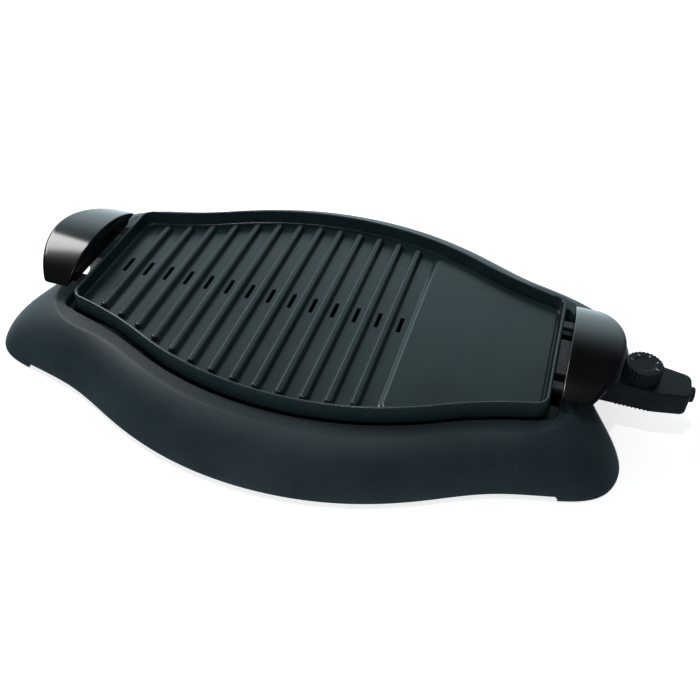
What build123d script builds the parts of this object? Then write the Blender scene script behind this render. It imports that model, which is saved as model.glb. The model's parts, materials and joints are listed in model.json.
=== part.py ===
from build123d import *
import math
import os

os.makedirs("parts", exist_ok=True)

# Electric griddle. +X points along the plate to the temperature control, +Y to the rear, +Z up.
# The origin is on the table, under the middle of the base. All sizes are millimetres.

# ---------------------------------------------------------------- levels above the table
FOOT_PROUD = 1.0           # rubber pads stand this far below the skirt
EDGE_RAISE = 4.0           # front and rear skirt edges are this much higher than the corner feet
DECK_TOP = 40.0            # flat ring round the plate
VALLEY_TOP = DECK_TOP      # lowest cooking surface, between the ribs

# ---------------------------------------------------------------- cooking plate
PLATE_HALF_LENGTH = 206.5
PLATE_HALF_WIDTH = 131.0
BELLY_RADIUS = 272.0       # long outward curve of the plate's sides
BELLY_ANGLE = 27.5         # degrees the belly turns before the waist curve takes over
WAIST_RADIUS = 333.0       # inward curve towards each end
PLATE_CORNER = 13.0
PLATE_FLOOR = 4.0
RIM_HEIGHT = 13.0          # above the valleys
RIM_WALL = 2.8
WALL_FILLET = 1.6
RIB_PITCH = 20.0
RIB_COUNT = 13
FIRST_SLOT_INSET = 17.5    # from the left end of the plate to the first slot
RIB_FOOT = 9.0             # width where a rib meets the valley
RIB_TOP = 5.4              # width at its top, before rounding
RIB_HEIGHT = 4.8
RIB_ROUND = 2.0
RIB_END_GAP = 11.0         # from a rib's end to the outside of the rim
SLOT_LENGTH = 20.5
SLOT_WIDTH = 3.4
PAD_RAISE = 3.0            # flat griddle pad above the valleys
PAD_STEP = 11.0            # from the last slot to the pad's edge
PAD_GUTTER = 3.2           # narrow channel between the pad and the wall
PAD_CORNER = 9.0
EAR_Y = 40.0
EAR_WIDTH = 8.5
EAR_REACH = 17.5
EAR_BOTTOM = 4.0           # above the deck
EAR_THICK = 4.0
LEG_LENGTH = 7.0
LEG_WIDTH = 12.0
LEG_INSET = 14.7           # leg's middle, in from the end of the plate's side
LEG_DROP = 2.4

# ---------------------------------------------------------------- element, pins, probe socket
ELEMENT_DROP = 5.0         # element axis below the underside of the plate
ELEMENT_RADIUS = 3.3
PRESS_CLEARANCE = 0.05
RIDGE_WIDTH = 10.0
RIDGE_DEPTH = 6.4
ELEMENT_INSET = 57.0       # loop's long sides, in from the plate's widest point
ELEMENT_BEND = 14.0
ELEMENT_END = 7.5          # tube's ends, in from the plate's end
ELEMENT_LEAD = 32.0        # straight stretch behind each pin
ELEMENT_SPLAY = 23.0       # length over which the two sides spread
PIN_Y = 12.5
PIN_RADIUS = 2.4
PIN_REACH = 19.5           # beyond the end of the plate
FIT_CLEARANCE = 0.08       # radial, plug and shaft fits
INSULATOR_RADIUS = 4.5
INSULATOR_LENGTH = 8.0
SOCKET_RADIUS = 6.0
SOCKET_LENGTH = 84.0
PROBE_RADIUS = 3.15
PROBE_LENGTH = 92.0

# ---------------------------------------------------------------- terminal guard
GUARD_WALL = 1.5
GUARD_LENGTH = 24.0
GUARD_GAP = 1.0            # from the plate's end to the guard
GUARD_CLEARANCE = 2.6      # round the control's nose
GUARD_TAB = 17.0
GUARD_TAB_Y = 25.0
GUARD_TAB_WIDTH = 9.0

# ---------------------------------------------------------------- handles
HANDLE_GAP = 8.0           # from the plate's end to the handle's inner edge
HANDLE_HALF_WIDTH = 62.0
HANDLE_SIDE = 22.0         # straight part of each side
HANDLE_BOW = 21.5          # how far the outer edge bows past the sides
HANDLE_BOTTOM = 11.5       # above the deck
HANDLE_CORNER = 7.0
HANDLE_END_HEIGHT = 1.6    # shell height at its two ends
HANDLE_ARCH = 17.0         # rise of the arch above its ends
HANDLE_LOWER_ARCH = 10.5   # rise of the shell's lower edge
HANDLE_WALL = 2.8
HANDLE_INNER_WALL = 2.4    # heat guard on the plate's side
HANDLE_GUARD_HALF = 50.0   # half length of its deeper middle part, which rests on the ears
BOSS_RADIUS = 4.4

# ---------------------------------------------------------------- screws
SCREW_RADIUS = 1.5
SCREW_HEAD_RADIUS = 3.0
SCREW_HEAD_HEIGHT = 1.8
HANDLE_SCREW_LENGTH = 12.0
GUARD_SCREW_LENGTH = 6.0

# ---------------------------------------------------------------- base
OPENING_GAP = 4.5          # round the plate's sides
END_GAP = 9.0              # beyond its ends
POCKET_OVER = 3.3          # the end pockets are this much wider than the plate's end, each side
POCKET_CORNER = 10.0
DECK_RING = 13.5           # width of the flat ring along the sides
END_DECK = 25.0            # deck beyond each end of the plate
BASE_WALL = 3.0
SIDE_FLARE = 38.5          # skirt spreads this far, front and rear
FOOT_FLARE = 49.5          # at the corner lobes
END_FLARE = 7.0            # at the middle of each end
NOTCH_HALF_WIDTH = 31.0
NOTCH_DEPTH = 24.0         # below the deck
NOTCH_ROUND = 5.0
WELL_FLOOR = 8.0           # top of the well's floor above the table
FOOT_EDGE = 3.5            # the raised edge stops this far inside the deck's end
SIDE_SLOPE = 19.0          # skirt's slope where it leaves the deck, degrees
LOBE_SLOPE = 42.0          # the same at the corner lobes and the ends
FOOT_SLOPE = 80.0          # and at its foot
POST_LENGTH = 18.0
POST_WIDTH = 18.0
PAD_THICK = 2.3
BODY_GAP = 0.3             # between bodies that part from each other

# ---------------------------------------------------------------- rubber feet
RUBBER_RADIUS = 8.0
RUBBER_DEPTH = 3.0         # part held in the housing
STEM_RADIUS = 3.0
STEM_LENGTH = 6.0
FOOT_OUT = 8.5             # foot's axis beyond the deck's end
FOOT_IN = 1.0              # and inside the deck's corner, across
FOOT_BOSS_WALL = 2.5

# ---------------------------------------------------------------- drip tray
TRAY_INSET = 8.0
TRAY_END_INSET = 11.5
TRAY_DEPTH = 11.0
TRAY_SHEET = 1.0
TRAY_LIP = 3.0

# ---------------------------------------------------------------- temperature control
CONTROL_GAP = 5.5          # from the plate's end to the control's inner face
CONTROL_LENGTH = 104.5
CONTROL_HALF_WIDTH = 18.9
CONTROL_NOSE_HALF = 13.6   # half width at the nose, past the knob
CONTROL_NOSE = 7.0         # corner radius of the nose
CONTROL_PARTING = -0.5     # parting line from the deck
CONTROL_LOWER = 16.7
CONTROL_UPPER = 3.8
CONTROL_WALL = 2.0
GRIP_COUNT = 9
GRIP_PITCH = 3.3
GRIP_WIDTH = 1.7
GRIP_PROUD = 0.7
KNOB_FROM_NOSE = 41.0      # knob axis from the control's outer end
KNOB_RADIUS = 15.6
KNOB_HEIGHT = 13.0
KNOB_FLUTES = 28
KNOB_FLUTE = 1.1
KNOB_WALL = 2.0
DIAL_RADIUS = 12.6
DIAL_THICK = 0.8
SPINDLE_RADIUS = 3.0
SPINDLE_LENGTH = 21.0
BUSHING_RADIUS = 5.0
BUSHING_LENGTH = 7.0
GLAND_RADIUS = 6.4
GLAND_PROUD = 3.6
GLAND_DROP = 5.0           # gland axis below the deck
GLAND_BORE = 3.4           # for the lead
GLAND_FLANGE = 1.6
CONTROL_SCREW_X = 32.0     # inner pair, from the control's inner face
CONTROL_SCREW_Y = 13.5
CONTROL_SCREW_NOSE = 14.0  # outer one, from the nose
PROBE_OVERLAP = 8.0        # probe held inside the housing
COLLAR_RADIUS = 6.0
COLLAR_LENGTH = 3.0
RECEPTACLE_LENGTH = 18.0
FRAME_SHEET = 1.2
FRAME_HALF_WIDTH = 7.0
BLADE_HALF_WIDTH = 2.6
SPACER_RADIUS = 3.6

# ---------------------------------------------------------------- places worked out from the above
PLATE_BOTTOM = VALLEY_TOP - PLATE_FLOOR
RIM_TOP = VALLEY_TOP + RIM_HEIGHT
PLUG_Z = PLATE_BOTTOM - ELEMENT_DROP
FIRST_SLOT_X = -PLATE_HALF_LENGTH + FIRST_SLOT_INSET
LAST_SLOT_X = FIRST_SLOT_X + RIB_COUNT * RIB_PITCH
PAD_X = LAST_SLOT_X + PAD_STEP
SCREW_X = PLATE_HALF_LENGTH + EAR_REACH - BOSS_RADIUS
EAR_Z = DECK_TOP + EAR_BOTTOM
HANDLE_X = PLATE_HALF_LENGTH + HANDLE_GAP
HANDLE_Z = DECK_TOP + HANDLE_BOTTOM
CONTROL_X = PLATE_HALF_LENGTH + CONTROL_GAP
CONTROL_END_X = CONTROL_X + CONTROL_LENGTH
PARTING_Z = DECK_TOP + CONTROL_PARTING
CONTROL_BOTTOM = PARTING_Z - CONTROL_LOWER
CONTROL_TOP = PARTING_Z + CONTROL_UPPER
KNOB_X = CONTROL_END_X - KNOB_FROM_NOSE
KNOB_Z = CONTROL_TOP + BODY_GAP
LEG_BOTTOM = PLATE_BOTTOM - LEG_DROP
LEG_X = PLATE_HALF_LENGTH - LEG_LENGTH / 2 - 1
POST_TOP = LEG_BOTTOM - BODY_GAP - PAD_THICK
CORNERS = {"front_left": (-1, -1), "front_right": (1, -1), "rear_left": (-1, 1), "rear_right": (1, 1)}
OPENING_END = PLATE_HALF_LENGTH + END_GAP
DECK_END = PLATE_HALF_LENGTH + END_DECK
FOOT_X = DECK_END + FOOT_OUT
GUARD_SCREW_X = PLATE_HALF_LENGTH - GUARD_TAB / 2
FAR = 2 * PLATE_HALF_LENGTH  # longer than anything that it cuts


def rim_half_width(x):
    """Half the plate's width at x, before its corners are rounded."""
    turn = math.radians(BELLY_ANGLE)
    waist_x = BELLY_RADIUS * math.sin(turn)
    x = abs(x)
    if x <= waist_x:
        return PLATE_HALF_WIDTH - BELLY_RADIUS + math.sqrt(BELLY_RADIUS ** 2 - x ** 2)
    waist_y = PLATE_HALF_WIDTH - BELLY_RADIUS * (1 - math.cos(turn))
    centre_x = waist_x + WAIST_RADIUS * math.sin(turn)
    centre_y = waist_y + WAIST_RADIUS * math.cos(turn)
    return centre_y - math.sqrt(WAIST_RADIUS ** 2 - (x - centre_x) ** 2)


END_HALF_WIDTH = rim_half_width(PLATE_HALF_LENGTH)
LEG_Y = END_HALF_WIDTH - LEG_INSET
FOOT_Y = END_HALF_WIDTH + OPENING_GAP + DECK_RING - FOOT_IN


def plate_outline(grow=0.0, end_x=PLATE_HALF_LENGTH):
    """The plate's plan: two bellied sides, four waist curves, straight ends, round corners."""
    waist_x = BELLY_RADIUS * math.sin(math.radians(BELLY_ANGLE))
    middle_x = (waist_x + end_x) / 2

    def side(sign):
        def at(x):
            return (x * sign, rim_half_width(x) * sign)
        return [
            ThreePointArc(at(end_x), at(middle_x), at(waist_x)),
            ThreePointArc(at(waist_x), at(0), at(-waist_x)),
            ThreePointArc(at(-waist_x), at(-middle_x), at(-end_x)),
        ]

    rear = side(1)
    front = side(-1)
    left_end = Line(rear[2] @ 1, front[0] @ 0)
    right_end = Line(front[2] @ 1, rear[0] @ 0)
    face = make_face([*rear, left_end, *front, right_end])
    corners = [v for v in face.vertices() if abs(abs(v.X) - end_x) < 0.01]
    rounded = fillet(corners, PLATE_CORNER)
    return offset(rounded, grow) if grow else rounded


def block(x0, x1, y0, y1, z0, z1):
    """A box between two corners."""
    size = Box(x1 - x0, y1 - y0, z1 - z0)
    return Pos((x0 + x1) / 2, (y0 + y1) / 2, (z0 + z1) / 2) * size


def rod_x(radius, x0, x1, y, z):
    """A round bar along X."""
    return Pos((x0 + x1) / 2, y, z) * Rot(0, 90, 0) * Cylinder(radius, x1 - x0)


def rod_z(radius, x, y, z0, z1):
    """A round bar along Z."""
    return Pos(x, y, (z0 + z1) / 2) * Cylinder(radius, z1 - z0)


def raised(face, z0, z1):
    """A plan shape pulled up from z0 to z1."""
    return Pos(0, 0, z0) * extrude(face, z1 - z0)


def screw(x, y, z, length):
    """A pan-head screw driven upwards, its head's seat at z."""
    head = rod_z(SCREW_HEAD_RADIUS, x, y, z - SCREW_HEAD_HEIGHT, z)
    shank = rod_z(SCREW_RADIUS, x, y, z, z + length)
    recess = Pos(x, y, z - SCREW_HEAD_HEIGHT) * (Box(0.8, 3.4, 1.6) + Box(3.4, 0.8, 1.6))
    return head + shank - recess


def save(name, shape):
    export_step(shape, f"parts/{name}.step")


# ---------------------------------------------------------------- base
def skirt_stations():
    """A quarter of the deck's outer edge, from mid side to mid end, with the flare at each point."""
    ring = OPENING_GAP + DECK_RING
    side = []
    for share in (0.0, 0.30, 0.56, 0.80, 0.99):
        x = share * PLATE_HALF_LENGTH
        side.append((x, rim_half_width(x) + ring))
    corner_y = side[-1][1]
    turn = [
        (PLATE_HALF_LENGTH + 0.62 * END_DECK, 0.82 * corner_y),
        (DECK_END - 2.0, 0.60 * corner_y),
        (DECK_END, 0.30 * corner_y),
        (DECK_END, 0.0),
    ]
    flares = [share * SIDE_FLARE for share in (1.0, 0.98, 0.93, 0.89, 0.92)]
    flares += [FOOT_FLARE, 0.87 * FOOT_FLARE, 0.40 * FOOT_FLARE, END_FLARE]
    return side + turn, flares


def skirt_spread(drop, slope):
    """How far out the skirt is, of its whole flare, at a share of its height below the deck."""
    start, stop = math.radians(slope), math.radians(FOOT_SLOPE)
    turn = math.acos(math.cos(start) - drop * (math.cos(start) - math.cos(stop)))
    return (math.sin(turn) - math.sin(start)) / (math.sin(stop) - math.sin(start))


def skirt_section(drop, inset):
    """A closed outline of the body, at a share of its height below the deck."""
    points, flares = skirt_stations()
    slopes = [SIDE_SLOPE] * 4 + [(SIDE_SLOPE + LOBE_SLOPE) / 2] + [LOBE_SLOPE] * 4
    quarter = []
    last = len(points) - 1
    for i, (x, y) in enumerate(points):
        before = points[i - 1] if i else (-points[1][0], points[1][1])
        after = points[i + 1] if i < last else (points[last - 1][0], -points[last - 1][1])
        along_x, along_y = after[0] - before[0], after[1] - before[1]
        size = math.hypot(along_x, along_y)
        reach = skirt_spread(drop, slopes[i]) * flares[i] - inset
        quarter.append((x - along_y / size * reach, y + along_x / size * reach))
    rear_right = quarter
    front_right = [(x, -y) for x, y in quarter[-2::-1]]
    front_left = [(-x, -y) for x, y in quarter[1:]]
    rear_left = [(-x, y) for x, y in quarter[-2:0:-1]]
    return rear_right + front_right + front_left + rear_left


def skirt_solid(inset, top, foot):
    """The flared body as one solid: shallow under the deck's edge, steep at its foot."""
    wires = []
    for drop in (0.0, 0.10, 0.28, 0.56, 1.0):
        points = [(x, y, top - (top - foot) * drop) for x, y in skirt_section(drop, inset)]
        wires.append(Wire([Spline(*points, periodic=True)]))
    return Solid.make_loft(wires)


def opening_plan(grow=0.0):
    """The deck's opening: the plate's plan, grown, with a wider pocket at each end."""
    plan = plate_outline(OPENING_GAP + grow)
    length = 2 * (END_GAP + PLATE_CORNER + grow)
    width = 2 * (END_HALF_WIDTH + POCKET_OVER + grow)
    pocket = RectangleRounded(length, width, POCKET_CORNER + grow)
    middle_x = PLATE_HALF_LENGTH - PLATE_CORNER
    return plan + Pos(middle_x, 0) * pocket + Pos(-middle_x, 0) * pocket


def make_base():
    outer = skirt_solid(0.0, DECK_TOP, FOOT_PROUD)
    cavity = skirt_solid(BASE_WALL, DECK_TOP - BASE_WALL, FOOT_PROUD - 0.5)
    well_inside = opening_plan()
    well_outside = opening_plan(BASE_WALL)
    well = raised(well_outside, WELL_FLOOR - BASE_WALL, DECK_TOP - BASE_WALL / 2)
    housing = outer - cavity + well
    housing -= raised(well_inside, WELL_FLOOR, DECK_TOP + 1)
    # raised edges between the corner feet
    for side in (-1, 1):
        edge_x = DECK_END - FOOT_EDGE
        low = block(-edge_x, edge_x, END_HALF_WIDTH - 20, FAR, -5, FOOT_PROUD + EDGE_RAISE)
        low = chamfer(low.edges().filter_by(Axis.Y).group_by(Axis.Z)[-1], EDGE_RAISE / 2)
        housing -= low if side > 0 else mirror(low, Plane.XZ)
    # hand notches, open upwards, at both ends
    for side in (-1, 1):
        notch = block(PLATE_HALF_LENGTH, FAR, -NOTCH_HALF_WIDTH, NOTCH_HALF_WIDTH,
                      DECK_TOP - NOTCH_DEPTH, DECK_TOP + NOTCH_DEPTH)
        notch = fillet(notch.edges().filter_by(Axis.X).group_by(Axis.Z)[0], NOTCH_ROUND)
        housing -= notch if side > 0 else mirror(notch, Plane.YZ)
    # inner faces that close the double wall beside each notch
    for sx, sy in CORNERS.values():
        y0, y1 = sorted((sy * NOTCH_HALF_WIDTH, sy * (NOTCH_HALF_WIDTH + BASE_WALL)))
        web = block(OPENING_END, FAR, y0, y1, WELL_FLOOR - BASE_WALL, DECK_TOP)
        web = web if sx > 0 else mirror(web, Plane.YZ)
        housing += web & outer
    # shelf under each notch
    for side in (-1, 1):
        z1 = DECK_TOP - NOTCH_DEPTH
        shelf = block(OPENING_END, FAR, -NOTCH_HALF_WIDTH - 1, NOTCH_HALF_WIDTH + 1, z1 - BASE_WALL, z1)
        housing += (shelf if side > 0 else mirror(shelf, Plane.YZ)) & outer
    # posts that carry the plate and bosses that hold the rubber feet
    seat = FOOT_PROUD + RUBBER_DEPTH
    for sx, sy in CORNERS.values():
        x0, x1 = sorted((sx * (OPENING_END - POST_LENGTH), sx * (OPENING_END + 1)))
        y = sy * LEG_Y
        post = block(x0, x1, y - POST_WIDTH / 2, y + POST_WIDTH / 2, WELL_FLOOR - 1, POST_TOP)
        housing += post & raised(well_outside, 0, DECK_TOP)
        x, y = sx * FOOT_X, sy * FOOT_Y
        housing += rod_z(RUBBER_RADIUS + FOOT_BOSS_WALL, x, y, FOOT_PROUD, DECK_TOP) & outer
        housing -= rod_z(RUBBER_RADIUS + PRESS_CLEARANCE, x, y, 0, seat)
        housing -= rod_z(STEM_RADIUS + PRESS_CLEARANCE, x, y, 0, seat + STEM_LENGTH + 1)
    save("base_housing", housing)

    for name, (sx, sy) in CORNERS.items():
        x, y = sx * FOOT_X, sy * FOOT_Y
        pad = rod_z(RUBBER_RADIUS, x, y, 0, seat)
        pad = chamfer(pad.edges().group_by(Axis.Z)[0], 0.6)
        save(f"rubber_foot_{name}", pad + rod_z(STEM_RADIUS, x, y, seat, seat + STEM_LENGTH))

    pads = []
    for sx, sy in CORNERS.values():
        place = Pos(sx * LEG_X, sy * LEG_Y, POST_TOP + PAD_THICK / 2)
        pads.append(place * Box(LEG_LENGTH, LEG_WIDTH, PAD_THICK))
    save("plate_rest_pads", Compound(pads))


def make_tray():
    z0 = WELL_FLOOR + BODY_GAP
    z1 = z0 + TRAY_DEPTH

    def plan(shrink):
        return plate_outline(-TRAY_INSET - shrink, PLATE_HALF_LENGTH - TRAY_END_INSET + TRAY_INSET)

    pan = raised(plan(TRAY_LIP), z0, z1) - raised(plan(TRAY_LIP + TRAY_SHEET), z0 + TRAY_SHEET, z1 + 1)
    lip = raised(plan(0), z1 - TRAY_SHEET, z1) - raised(plan(TRAY_LIP + TRAY_SHEET), z0, z1 + 1)
    save("drip_tray", pan + lip)


# ---------------------------------------------------------------- cooking plate
def element_path():
    """The heating tube's centre line: in along one side, round the far end and back."""
    side_y = PLATE_HALF_WIDTH - ELEMENT_INSET
    far_x = FIRST_SLOT_X + 1.5 * RIB_PITCH
    start_x = PLATE_HALF_LENGTH - ELEMENT_END
    lead_x = start_x - ELEMENT_LEAD
    half = [
        (start_x, PIN_Y),
        (lead_x, PIN_Y),
        (lead_x - ELEMENT_SPLAY, 0.72 * side_y),
        (0.34 * PLATE_HALF_LENGTH, side_y),
        (-0.40 * PLATE_HALF_LENGTH, side_y),
        (far_x, 0.50 * side_y),
    ]
    points = half + [(x, -y) for x, y in reversed(half)]
    return FilletPolyline(*points, radius=ELEMENT_BEND)


def make_plate():
    rim = plate_outline()
    inside = plate_outline(-RIM_WALL)
    plate = raised(rim, PLATE_BOTTOM, RIM_TOP)
    pocket = raised(inside, VALLEY_TOP, RIM_TOP + 1)
    pocket = fillet(pocket.faces().sort_by(Axis.Z)[0].edges(), WALL_FILLET)
    plate -= pocket

    for i in range(RIB_COUNT):
        x = FIRST_SLOT_X + (i + 0.5) * RIB_PITCH
        half = rim_half_width(x) - RIB_END_GAP
        rib_top = VALLEY_TOP + RIB_HEIGHT
        foot, top = RIB_FOOT / 2, RIB_TOP / 2
        section = Plane(origin=(x, half, 0), x_dir=(1, 0, 0), z_dir=(0, -1, 0)) * make_face(Polyline(
            (-foot, VALLEY_TOP - 1), (-foot, VALLEY_TOP), (-top, rib_top),
            (top, rib_top), (foot, VALLEY_TOP), (foot, VALLEY_TOP - 1), close=True))
        rib = extrude(section, 2 * half)
        rib = fillet(rib.faces().sort_by(Axis.Z)[-1].edges(), RIB_ROUND)
        plate += rib

    flat = raised(plate_outline(-RIM_WALL - PAD_GUTTER), VALLEY_TOP - 1, VALLEY_TOP + PAD_RAISE)
    flat -= block(-PLATE_HALF_LENGTH, PAD_X, -PLATE_HALF_WIDTH, PLATE_HALF_WIDTH, 0, RIM_TOP)
    uprights = flat.edges().filter_by(Axis.Z)
    flat = fillet([e for e in uprights if abs(e.center().X - PAD_X) < 0.01], PAD_CORNER)
    plate += flat

    for i in range(RIB_COUNT + 1):
        x = FIRST_SLOT_X + i * RIB_PITCH
        plate -= Pos(x, 0, VALLEY_TOP) * Box(SLOT_WIDTH, SLOT_LENGTH, 3 * PLATE_FLOOR)

    # ridge that holds the element, and the long socket for the probe
    path = element_path()
    ridge = raised(trace(path, RIDGE_WIDTH), PLATE_BOTTOM - RIDGE_DEPTH, PLATE_BOTTOM + 0.5)
    plate += ridge - block(PLATE_HALF_LENGTH - 12, FAR, -FAR, FAR, 0, RIM_TOP)
    end_x = PLATE_HALF_LENGTH - 3
    socket = rod_x(SOCKET_RADIUS, end_x - SOCKET_LENGTH, end_x, 0, PLUG_Z)
    socket += block(end_x - SOCKET_LENGTH, end_x, -SOCKET_RADIUS, SOCKET_RADIUS, PLUG_Z, PLATE_BOTTOM + 0.5)
    plate += socket
    tube_path = Pos(0, 0, PLUG_Z) * path
    start = Plane(origin=tube_path @ 0, z_dir=tube_path % 0)
    plate -= sweep(start * Circle(ELEMENT_RADIUS + PRESS_CLEARANCE), path=tube_path)
    plate -= rod_x(PROBE_RADIUS + FIT_CLEARANCE, end_x - SOCKET_LENGTH + 4, end_x + 20, 0, PLUG_Z)

    for sx, sy in CORNERS.values():
        x0, x1 = sorted((sx * (PLATE_HALF_LENGTH - 1), sx * (PLATE_HALF_LENGTH + EAR_REACH)))
        y = sy * EAR_Y
        ear = block(x0, x1, y - EAR_WIDTH / 2, y + EAR_WIDTH / 2, EAR_Z, EAR_Z + EAR_THICK)
        plate += ear - rod_z(SCREW_RADIUS + 0.1, sx * SCREW_X, y, EAR_Z - 1, EAR_Z + EAR_THICK + 1)
        leg_height = LEG_DROP + 1
        leg = Box(LEG_LENGTH, LEG_WIDTH, leg_height)
        plate += Pos(sx * LEG_X, sy * LEG_Y, LEG_BOTTOM + leg_height / 2) * leg

    for sy in (-1, 1):
        plate -= rod_z(SCREW_RADIUS + PRESS_CLEARANCE, GUARD_SCREW_X, sy * GUARD_TAB_Y,
                       PLATE_BOTTOM - 1, PLATE_BOTTOM + GUARD_SCREW_LENGTH - GUARD_WALL + 0.5)
    save("cooking_plate", plate)

    save("heating_element", sweep(start * Circle(ELEMENT_RADIUS), path=tube_path))
    pin_x = (tube_path @ 0).X
    tip_x = PLATE_HALF_LENGTH + PIN_REACH
    pins = []
    bushes = []
    bush_x = PLATE_HALF_LENGTH - 4
    for sy in (-1, 1):
        pin = rod_x(PIN_RADIUS, pin_x, tip_x, sy * PIN_Y, PLUG_Z)
        pins.append(chamfer(pin.edges().sort_by(Axis.X)[-1], 1.0))
        bush = rod_x(INSULATOR_RADIUS, bush_x, bush_x + INSULATOR_LENGTH, sy * PIN_Y, PLUG_Z)
        bore = rod_x(PIN_RADIUS + PRESS_CLEARANCE, pin_x, tip_x, sy * PIN_Y, PLUG_Z)
        bushes.append(bush - bore)
    save("terminal_pins", Compound(pins))
    save("terminal_insulators", Compound(bushes))


def make_guard():
    x0 = PLATE_HALF_LENGTH + GUARD_GAP
    x1 = x0 + GUARD_LENGTH
    y1 = CONTROL_HALF_WIDTH + GUARD_CLEARANCE
    z0 = CONTROL_BOTTOM - GUARD_CLEARANCE + 0.6
    z1 = CONTROL_TOP + 1.0
    guard = block(x0, x1, -y1 - GUARD_WALL, y1 + GUARD_WALL, z0 - GUARD_WALL, z1 + GUARD_WALL)
    guard = fillet(guard.edges().filter_by(Axis.X), 3)
    inside = block(x0 + GUARD_WALL, x1 + 1, -y1, y1, z0, z1)
    guard -= fillet(inside.edges().filter_by(Axis.X), 1.5)
    edge_y = GUARD_TAB_Y + GUARD_TAB_WIDTH / 2
    guard += block(x0, x0 + GUARD_WALL, -edge_y, edge_y, PLATE_BOTTOM - 6, PLATE_BOTTOM)
    for sy in (-1, 1):
        y0, y2 = sorted((sy * edge_y, sy * (edge_y - GUARD_TAB_WIDTH)))
        guard += block(x0 - GUARD_TAB, x0 + GUARD_WALL, y0, y2, PLATE_BOTTOM - GUARD_WALL, PLATE_BOTTOM)
        guard -= rod_z(SCREW_RADIUS + 0.1, GUARD_SCREW_X, sy * GUARD_TAB_Y,
                       PLATE_BOTTOM - 5, PLATE_BOTTOM + 5)
        guard -= rod_x(INSULATOR_RADIUS + PRESS_CLEARANCE, x0 - 1, x0 + GUARD_WALL + 1, sy * PIN_Y, PLUG_Z)
    guard -= rod_x(PROBE_RADIUS + 1.0, x0 - 1, x0 + GUARD_WALL + 1, 0, PLUG_Z)
    save("terminal_guard", guard)
    screws = []
    for sy in (-1, 1):
        screws.append(screw(GUARD_SCREW_X, sy * GUARD_TAB_Y, PLATE_BOTTOM - GUARD_WALL, GUARD_SCREW_LENGTH))
    save("guard_screws", Compound(screws))


# ---------------------------------------------------------------- handles
def handle_body(inset, inner_x, bottom):
    """The arched D-shaped block; the shell is one of these less a smaller one."""
    half = HANDLE_HALF_WIDTH - inset
    side_x = HANDLE_X + HANDLE_SIDE
    bow_x = side_x + HANDLE_BOW - inset
    plan = make_face([
        Line((inner_x, -half), (side_x, -half)),
        ThreePointArc((side_x, -half), (bow_x, 0), (side_x, half)),
        Line((side_x, half), (inner_x, half)),
        Line((inner_x, half), (inner_x, -half)),
    ])
    plan = fillet([v for v in plan.vertices() if abs(v.X - side_x) < 0.01], HANDLE_CORNER - inset)
    end_z = HANDLE_Z + HANDLE_END_HEIGHT - inset
    arch_z = HANDLE_Z + HANDLE_END_HEIGHT + HANDLE_ARCH - inset
    edge = HANDLE_HALF_WIDTH
    front = Plane(origin=(inner_x - 5, 0, 0), x_dir=(0, 1, 0), z_dir=(1, 0, 0))
    arch = make_face([
        ThreePointArc((-edge, end_z), (0, arch_z), (edge, end_z)),
        Line((edge, end_z), (edge, bottom)),
        Line((edge, bottom), (-edge, bottom)),
        Line((-edge, bottom), (-edge, end_z)),
    ])
    return raised(plan, bottom, arch_z + 5) & extrude(front * arch, FAR)


def make_handles():
    outer = handle_body(0.0, HANDLE_X, HANDLE_Z)
    wall_x = HANDLE_X + HANDLE_INNER_WALL
    shell = outer - handle_body(HANDLE_WALL, wall_x, HANDLE_Z - 1)
    side = Plane(origin=(wall_x, 0, 0), x_dir=(0, 1, 0), z_dir=(1, 0, 0))
    edge = HANDLE_HALF_WIDTH - HANDLE_WALL
    low = ThreePointArc((-edge, HANDLE_Z), (0, HANDLE_Z + HANDLE_LOWER_ARCH), (edge, HANDLE_Z))
    shell -= extrude(side * make_face([low, Line(low @ 1, low @ 0)]), FAR)
    inside = handle_body(0.8, HANDLE_X + 0.2, HANDLE_Z)
    ear_top = EAR_Z + EAR_THICK
    half = HANDLE_GUARD_HALF
    shell += block(HANDLE_X, wall_x, -half, half, ear_top, HANDLE_Z + HANDLE_ARCH / 4)
    for sy in (-1, 1):
        y = sy * EAR_Y
        boss = rod_z(BOSS_RADIUS, SCREW_X, y, HANDLE_Z - 1, HANDLE_Z + 2 * HANDLE_ARCH)
        shell += boss & inside
        shell += rod_z(BOSS_RADIUS, SCREW_X, y, ear_top, HANDLE_Z + 1)
        shell -= rod_z(SCREW_RADIUS + PRESS_CLEARANCE, SCREW_X, y, ear_top - 1,
                       ear_top + HANDLE_SCREW_LENGTH - EAR_THICK + 0.5)
    save("right_handle", shell)
    save("left_handle", mirror(shell, Plane.YZ))
    for name, sx in (("left", -1), ("right", 1)):
        screws = [screw(sx * SCREW_X, sy * EAR_Y, EAR_Z, HANDLE_SCREW_LENGTH) for sy in (-1, 1)]
        save(f"{name}_handle_screws", Compound(screws))


# ---------------------------------------------------------------- temperature control
def control_plan(inset):
    x0 = CONTROL_X + inset
    x1 = CONTROL_END_X - inset
    shoulder_x = KNOB_X + 0.9 * KNOB_RADIUS
    half = CONTROL_HALF_WIDTH - inset
    nose = CONTROL_NOSE_HALF - inset
    front = [(x0, -half), (shoulder_x, -half), (x1, -nose)]
    rear = [(x, -y) for x, y in reversed(front)]
    face = make_face(Polyline(*front, *rear, close=True))
    return fillet(face.vertices().sort_by(Axis.X)[-2:], CONTROL_NOSE - inset)


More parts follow.
